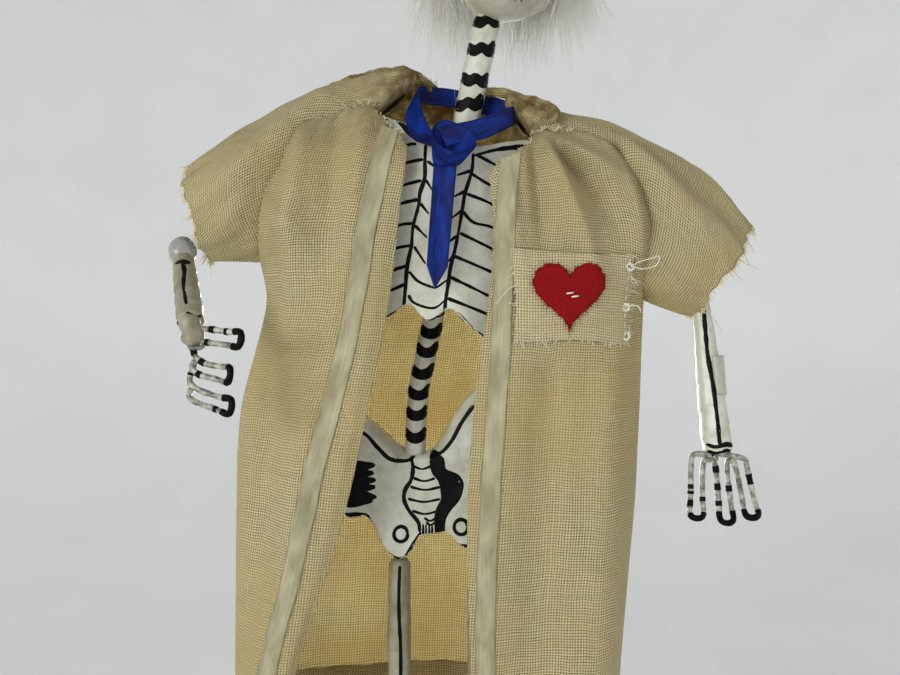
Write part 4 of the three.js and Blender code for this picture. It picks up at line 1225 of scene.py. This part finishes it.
def collar_rolls():
    for number, line in enumerate(ROLLS):
        path = spline(line, 90)
        own = np.random.default_rng(170 + number)
        rough = np.convolve(own.normal(0, 1, 108), np.ones(9) / 3, "valid")[:90, None]
        turn = circle(16)
        reach = 1.35 + 0.2 * rough + 0.25 * np.sin(2 * turn + path[:, :1] / 2.5) + 0.1 * np.sin(5 * turn)
        points, faces = sweep(path, reach, 16)
        made = mesh_object(f"collar_roll_{number + 1}", points, faces, COTTON, arc_lengths(points),
                           np.full(points.shape[:2], 0.9))
        put(made, ROOT, "coat_cloth")


# Each row of a sleeve: its top (x, z), its bottom (x, z), how far forward, how far back.
SLEEVES = {
    "right": ((-1, 303, -25, 283, -10.5, 8), (-12, 305.5, -26, 272, -11.5, 10),
              (-33, 299.5, -33, 262, -13.5, 14), (-50, 292, -50, 247, -16.5, 17),
              (-61, 286.5, -60, 245, -18.5, 16), (-77, 275, -70.5, 244.3, -15.5, 13)),
    "left": ((19.5, 297.5, 36, 278, -10.5, 8), (30, 295.5, 42, 268, -11.5, 11),
             (44, 291.5, 46, 260, -12.5, 14), (58, 288.5, 60, 240, -15, 17), (70, 283, 68, 232.5, -18.5, 16),
             (87, 272, 76, 229, -18, 15), (101, 255, 82, 227, -16.5, 13.5)),
}
SLEEVE_FOLDS = {
    "right": (((-22, 296), (-50, 262), 3.2, -1.3), ((-30, 299), (-66, 262), 4.5, 1.5),
              ((-50, 290), (-72, 268), 4, -0.9), ((-56, 262), (-68, 248), 3.5, 1)),
    "left": (((50, 282), (73, 246), 3, -2.2), ((55, 283), (88, 246), 4.2, 2.4),
             ((64, 262), (82, 236), 3.6, 1.5), ((62, 285), (96, 253), 4, -1.4),
             ((40, 288), (60, 279), 2.5, -1)),
}
# Where each sleeve would start and stop giving way to the arm, which nothing reads, and the way its loose
# threads point.
SLEEVE_BLENDS = {
    "right": ((-40, 0, 282), (-60, 0, 270), (-0.75, 0, -0.6)),
    "left": ((44, 0, 280), (66, 0, 268), (0.7, 0, -0.7)),
}


def sleeve_point(side, u, v):
    top_x, top_z, low_x, low_z, ahead, behind = through(SLEEVES[side], v)
    turn = 2 * np.pi * u + np.pi
    c, s = np.cos(turn), np.sin(turn)
    x = (top_x + low_x) / 2 + (top_x - low_x) / 2 * c
    z = (top_z + low_z) / 2 + (top_z - low_z) / 2 * c
    flip = 1 if side == "left" else -1
    y = (ahead + behind) / 2 + flip * (ahead - behind) / 2 * s
    sag = smooth(0.1, 0.6, v)
    wave = 0.9 * np.sin(9 * turn + 2.1 * v) * smooth(0.45, 0, v) + 0.7 * np.sin(3 * turn + 5 * v + 1) * sag
    ridge = 1.1 * np.exp(-((v - 0.62 - 0.1 * s) / 0.07) ** 2) * smooth(-0.2, 0.6, s * -1)
    out = wave + ridge + rumple(x + 3 * y, z + y, 31, 0.5)
    out = out + 2.2 * fold_height(SLEEVE_FOLDS[side], x, z) * smooth(-4, 8, -y)
    edge = 0.7 * np.sin(5 * turn + 1) + 0.4 * np.sin(17 * turn)
    x = x + flip * edge * smooth(0.75, 1, v)
    opened = mix(0.3, 1, smooth(-0.03, 0.08, v))
    x, y, z = x + 0.15 * out * c, y - out * 0.9 * flip * s, z + out * 0.9 * c
    middle = ((top_x + low_x) / 2, (ahead + behind) / 2, (top_z + low_z) / 2)
    return tuple(mix(inner, outer, opened) for inner, outer in zip(middle, (x, y, z)))


def sleeves():
    for side, (start, end, out) in SLEEVE_BLENDS.items():
        upper = f"upper_arm_{side}_body"

        def shape(u, v, side=side):
            return sleeve_point(side, u, v)

        piece = cloth(f"sleeve_{side}", shape, 132, 76, [COTTON, COTTON_INSIDE], COTTON_THICK, collar_stain)
        piece.name = f"sleeve_{side}_form"
        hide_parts(f"sleeve_{side}")
        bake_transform(piece)

        def cuff(t, shape=shape, out=out):
            return point_of(shape, t, 1.0), out

        threads = ragged(cuff, 300, 1.7, 121 + len(side), droop=0.4)
        if side == "left":
            threads.take(ragged(lambda t: cuff(0.12 + 0.33 * t), 11, 10, 131, 0.13, 0.2))
        put(threads.made(f"cuff_threads_{side}", THREAD), upper, "coat_cloth")


def trim_ribbons():
    low = HEM_Z + 0.6
    for side, data in SIDES.items():
        def strip(u, v, side=side, data=data):
            z = low + (data["ribbon_top"] - low) * v
            z = z + (0.35 if side == "left" else -0.35) * (u - 0.5) * smooth(0.97, 1, v) * 6
            pucker = 0.1 * np.sin(z * 1.55 + 0.6) * np.abs(2 * u - 1) ** 3
            x = coat_at(data["ribbon"], z) + (u - 0.5) * RIBBON_WIDTH
            x = x + 0.35 * np.sin(z / 11) + 0.12 * np.sin(z / 3.7)
            rise = 0.36 + 0.35 * (1 - (2 * u - 1) ** 2) * (0.6 + 0.4 * np.sin(z / 6.5)) + pucker
            return coat_front_at(side, x, z, rise)

        piece = cloth(f"trim_ribbon_{side}", strip, 15, 340, CREAM, 0.25)
        put(piece, ROOT, "cream_ribbon", f"trim_ribbon_{side}")


# ---- Pocket and its heart ----
POCKET = {"near": 24.9, "far": 61.3, "low": 219.3, "high": 245.8}
HEART = {"x": 41.3, "z": 232.4, "size": 10.9}


def pocket_point(u, v):
    x = mix(POCKET["near"], POCKET["far"], u) + 0.5 * np.sin(v * 5) * (1 - 2 * u)
    z = mix(POCKET["low"], POCKET["high"], v) - 1.2 * u + 0.5 * np.sin(u * 7 + 1) * (2 * v - 1)
    middle = np.clip(4 * u * (1 - u), 0, 1) * smooth(0, 0.3, v)
    puff = 2.2 * middle * smooth(1.15, 0.75, v) + 0.5 * np.sin(9 * u + 4 * v) * middle
    crease = 1.4 * np.exp(-(((v - 0.17) / 0.045) ** 2)) * middle
    return coat_front_at("left", x, z, 1.0 + puff - crease)


def pocket():
    # The pocket's paler cloth is painted light.
    piece = cloth("pocket", pocket_point, 70, 52, [LIT_POCKET_COTTON, COTTON_INSIDE], COTTON_THICK)
    put(piece, ROOT, "coat_cloth", "pocket")

    def at(u, v, off=0.0):
        return point_of(pocket_point, u, v) - (0, off, 0)

    threads = Batch()
    sides = (
        (34, lambda t: (at(0.99, t), (1, -0.3, 0))),
        (20, lambda t: (at(0.01, t), (-1, -0.3, 0))),
        (26, lambda t: (at(t, 0.01), (0, -0.3, -1))),
    )
    for number, (count, edge) in enumerate(sides):
        threads.take(ragged(edge, count, 1.8, 140 + number))
    for number, (u, v) in enumerate(((0.965, 0.86), (0.965, 0.42), (0.97, 0.1))):
        knot = at(u, v, 0.7)
        own = np.random.default_rng(150 + number)
        for _ in range(3):
            a = own.uniform(0, 2 * np.pi)
            turns = np.linspace(0, 2 * np.pi, 9)
            loop = np.column_stack([1.3 * np.cos(turns), 0.4 * np.sin(2 * turns), 0.8 * np.sin(turns)])
            spun = loop @ np.array([[np.cos(a), 0, np.sin(a)], [0, 1, 0], [-np.sin(a), 0, np.cos(a)]])
            threads.add(*sweep(knot + spun, 0.2, 6))
    top, low = at(0.965, 0.86, 0.9), at(0.965, 0.42, 0.9)
    loop = spline([top, top + (2.5, -1, 1.5), top + (6.4, -1.5, 2.6), top + (8.6, -0.5, 3.2),
                   top + (7.8, -0.4, 0.6), top + (4, -0.8, -0.6), top + (1, -0.5, 0)], 40)
    threads.add(*sweep(loop, 0.16, 6))
    tail = spline([low, low + (1.5, -1, 0.6), low + (3.6, -1.2, 0.2), low + (4.4, -0.6, -1.4)], 20)
    threads.add(*sweep(tail, 0.16, 6))
    for step in np.linspace(0.1, 0.9, 9):
        stitch = [at(0.965, step, -0.1), at(0.958, step + 0.02, 0.5), at(0.962, step + 0.05, 0.5),
                  at(0.965, step + 0.06, -0.1)]
        threads.add(*sweep(spline(stitch, 8), 0.14, 6))
    put(threads.made("pocket_threads", WHITE_THREAD), ROOT, "coat_cloth")


def heart_edge(a):
    """A heart's outline as seen from the front, about 2 wide."""
    x = np.sin(a) ** 3
    z = (13 * np.cos(a) - 5 * np.cos(2 * a) - 2 * np.cos(3 * a) - np.cos(4 * a)) / 16 + 0.12
    return x, z


def heart():
    def on_pocket(x, z, off):
        u = (x - POCKET["near"]) / (POCKET["far"] - POCKET["near"])
        v = (z + 1.2 * u - POCKET["low"]) / (POCKET["high"] - POCKET["low"])
        return x, pocket_point(u, v)[1] - off, z

    def place(u, v):
        a = 2 * np.pi * v
        x, z = heart_edge(a)
        rough = 1 + 0.02 * np.sin(23 * a) + 0.015 * np.sin(41 * a + 1)
        x, z = HEART["x"] + HEART["size"] * x * u * rough, HEART["z"] + HEART["size"] * z * u * rough
        return on_pocket(x, z, 0.95 + 0.45 * smooth(1, 0.86, u))

    u, v = np.meshgrid(np.linspace(0.001, 1, 26), np.linspace(0, 1, 100), indexing="ij")
    points = np.stack(place(u, v), axis=-1)
    rim = np.stack(place(u[-1:], v[-1:]), axis=-1) + (0, 0.75, 0)
    points = np.concatenate([points, rim])
    patch = mesh_object("heart_patch", points, grid_faces(27, 100)[:, ::-1], RED)
    put(patch, ROOT, "red_felt", "ribbon_heart")

    def edge(t):
        inner, outer = points[4, int(t * 99)], points[24, int(t * 99)]
        return outer, outer - inner

    fuzz = ragged(edge, 420, 0.9, 161, 0.06, 0.1)
    put(fuzz.made("heart_fuzz", RED), ROOT, "red_felt")
    stitches = Batch()
    for dx, dz in ((-1.1, 0.5), (0.4, -0.5)):
        run = [on_pocket(HEART["x"] + dx + step, HEART["z"] + dz + 0.15 * step, rise)
               for step, rise in ((0, 1.2), (0.5, 1.75), (1.5, 1.75), (2, 1.2))]
        stitches.add(*sweep([[float(c) for c in p] for p in run], 0.26, 7))
    put(stitches.made("heart_stitches", WHITE_THREAD), ROOT, "red_felt")


# ---- Ribbon tie ----
# The loop's middle line, and the way from it to the ribbon's upper edge, from the knot round by the left.
TIE_LOOP = (
    (3.6, -23, 279.4, -1.2, 0, 2.8), (14, -19.5, 282.4, -1.3, 0, 2.9), (22.8, -13, 287, -0.8, 0.3, 3),
    (26, -5, 290.2, 0, 0.5, 3.1), (21.6, 3.8, 294.2, 0.2, 0.3, 3.1), (12, 8.8, 297.6, 0, 0.2, 3.1),
    (2, 7, 298.8, 0.1, 0.4, 3), (-4.4, 1.2, 298, 0.8, 1, 2.8), (-5.4, -6, 292.6, 2, 1.2, 2.1),
    (-4.6, -12.5, 286.4, 2.9, 0.8, 1.1), (-2, -18.4, 281, 2.8, 0.3, 1.4), (2.4, -22.4, 278.8, 2.2, 0, 2.1),
)


def tie():
    def band(u, v):
        x, y, z, side_x, side_y, side_z = through(TIE_LOOP, v)
        across = 2 * u - 1
        return x + across * side_x, y + across * side_y, z + across * side_z + 0.15 * np.sin(40 * v)

    loop = cloth("tie_loop", band, 13, 170, BLUE, 0.3)
    put(loop, ROOT, "blue_ribbon", "tie_loop")

    def wrap(u, v):
        turn = 2 * np.pi * u
        c, s = np.cos(turn), np.sin(turn)
        width, depth = mix(3.6, 6.8, v**0.7), mix(1.9, 3.1, v)
        x = mix(4.9, 7.2, v) + width * s + 0.2 * np.sin(3 * turn) * v
        y = mix(-23.9, -24.2, v) - depth * c - 0.25 * np.sin(5 * turn + 3 * v)
        return x, y, mix(270.9, 279.4 - 4.9 * c - 1.7 * s, v) + 0.2 * np.sin(4 * turn)

    knot = cloth("tie_knot", wrap, 90, 26, BLUE, 0.35)
    put(knot, ROOT, "blue_ribbon", "tie_knot")

    def blade(u, v):
        z = 272.5 - 37.8 * v
        middle = np.interp(z, (234.7, 241.5, 272.5), (1.3, 2.2, 4.7))
        half = np.interp(z, (234.7, 241.2, 272.5), (0.15, 3.15, 3.45))
        across = 2 * u - 1
        curl = -0.55 * across * np.sin(2.4 * v) + 0.5 * across**2 + 0.3 * np.sin(7 * v)
        y = -24.1 + 0.9 * smooth(0.1, 0.9, v) + curl
        return middle + half * across, y, z - 0.4 * across

    piece = cloth("tie_blade", lambda u, v: blade(u, 1 - v), 15, 110, BLUE, 0.3)
    put(piece, "tie_end", "blue_ribbon", "tie_blade")


# ---- Pieces that keep their frame shape ----
def keep(look, *nodes):
    for node in nodes:
        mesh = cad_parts[node].data
        mesh.materials.clear()
        mesh.materials.append(look)


def kept_pieces():
    keep(STEEL, "leg_wire_right", "leg_wire_left", "spine_wire", "shoulder_wire", "upper_arm_wire_right",
         "upper_arm_wire_left", "forearm_wire_right", "forearm_wire_left")
    keep(BARE, "chest_block")
    keep(wood_look(), "base_board")
    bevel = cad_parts["base_board"].modifiers.new("worn edges", "BEVEL")
    bevel.width = 0.9 * MM
    bevel.segments = 3
    bevel.limit_method = "ANGLE"


camera()
studio()
stage()
legs()
pelvis()
spine()
ribcage()
arms()
hands()
skull()
hair()
coat_fronts()
coat_back()
collar_rolls()
sleeves()
trim_ribbons()
pocket()
heart()
tie()
kept_pieces()
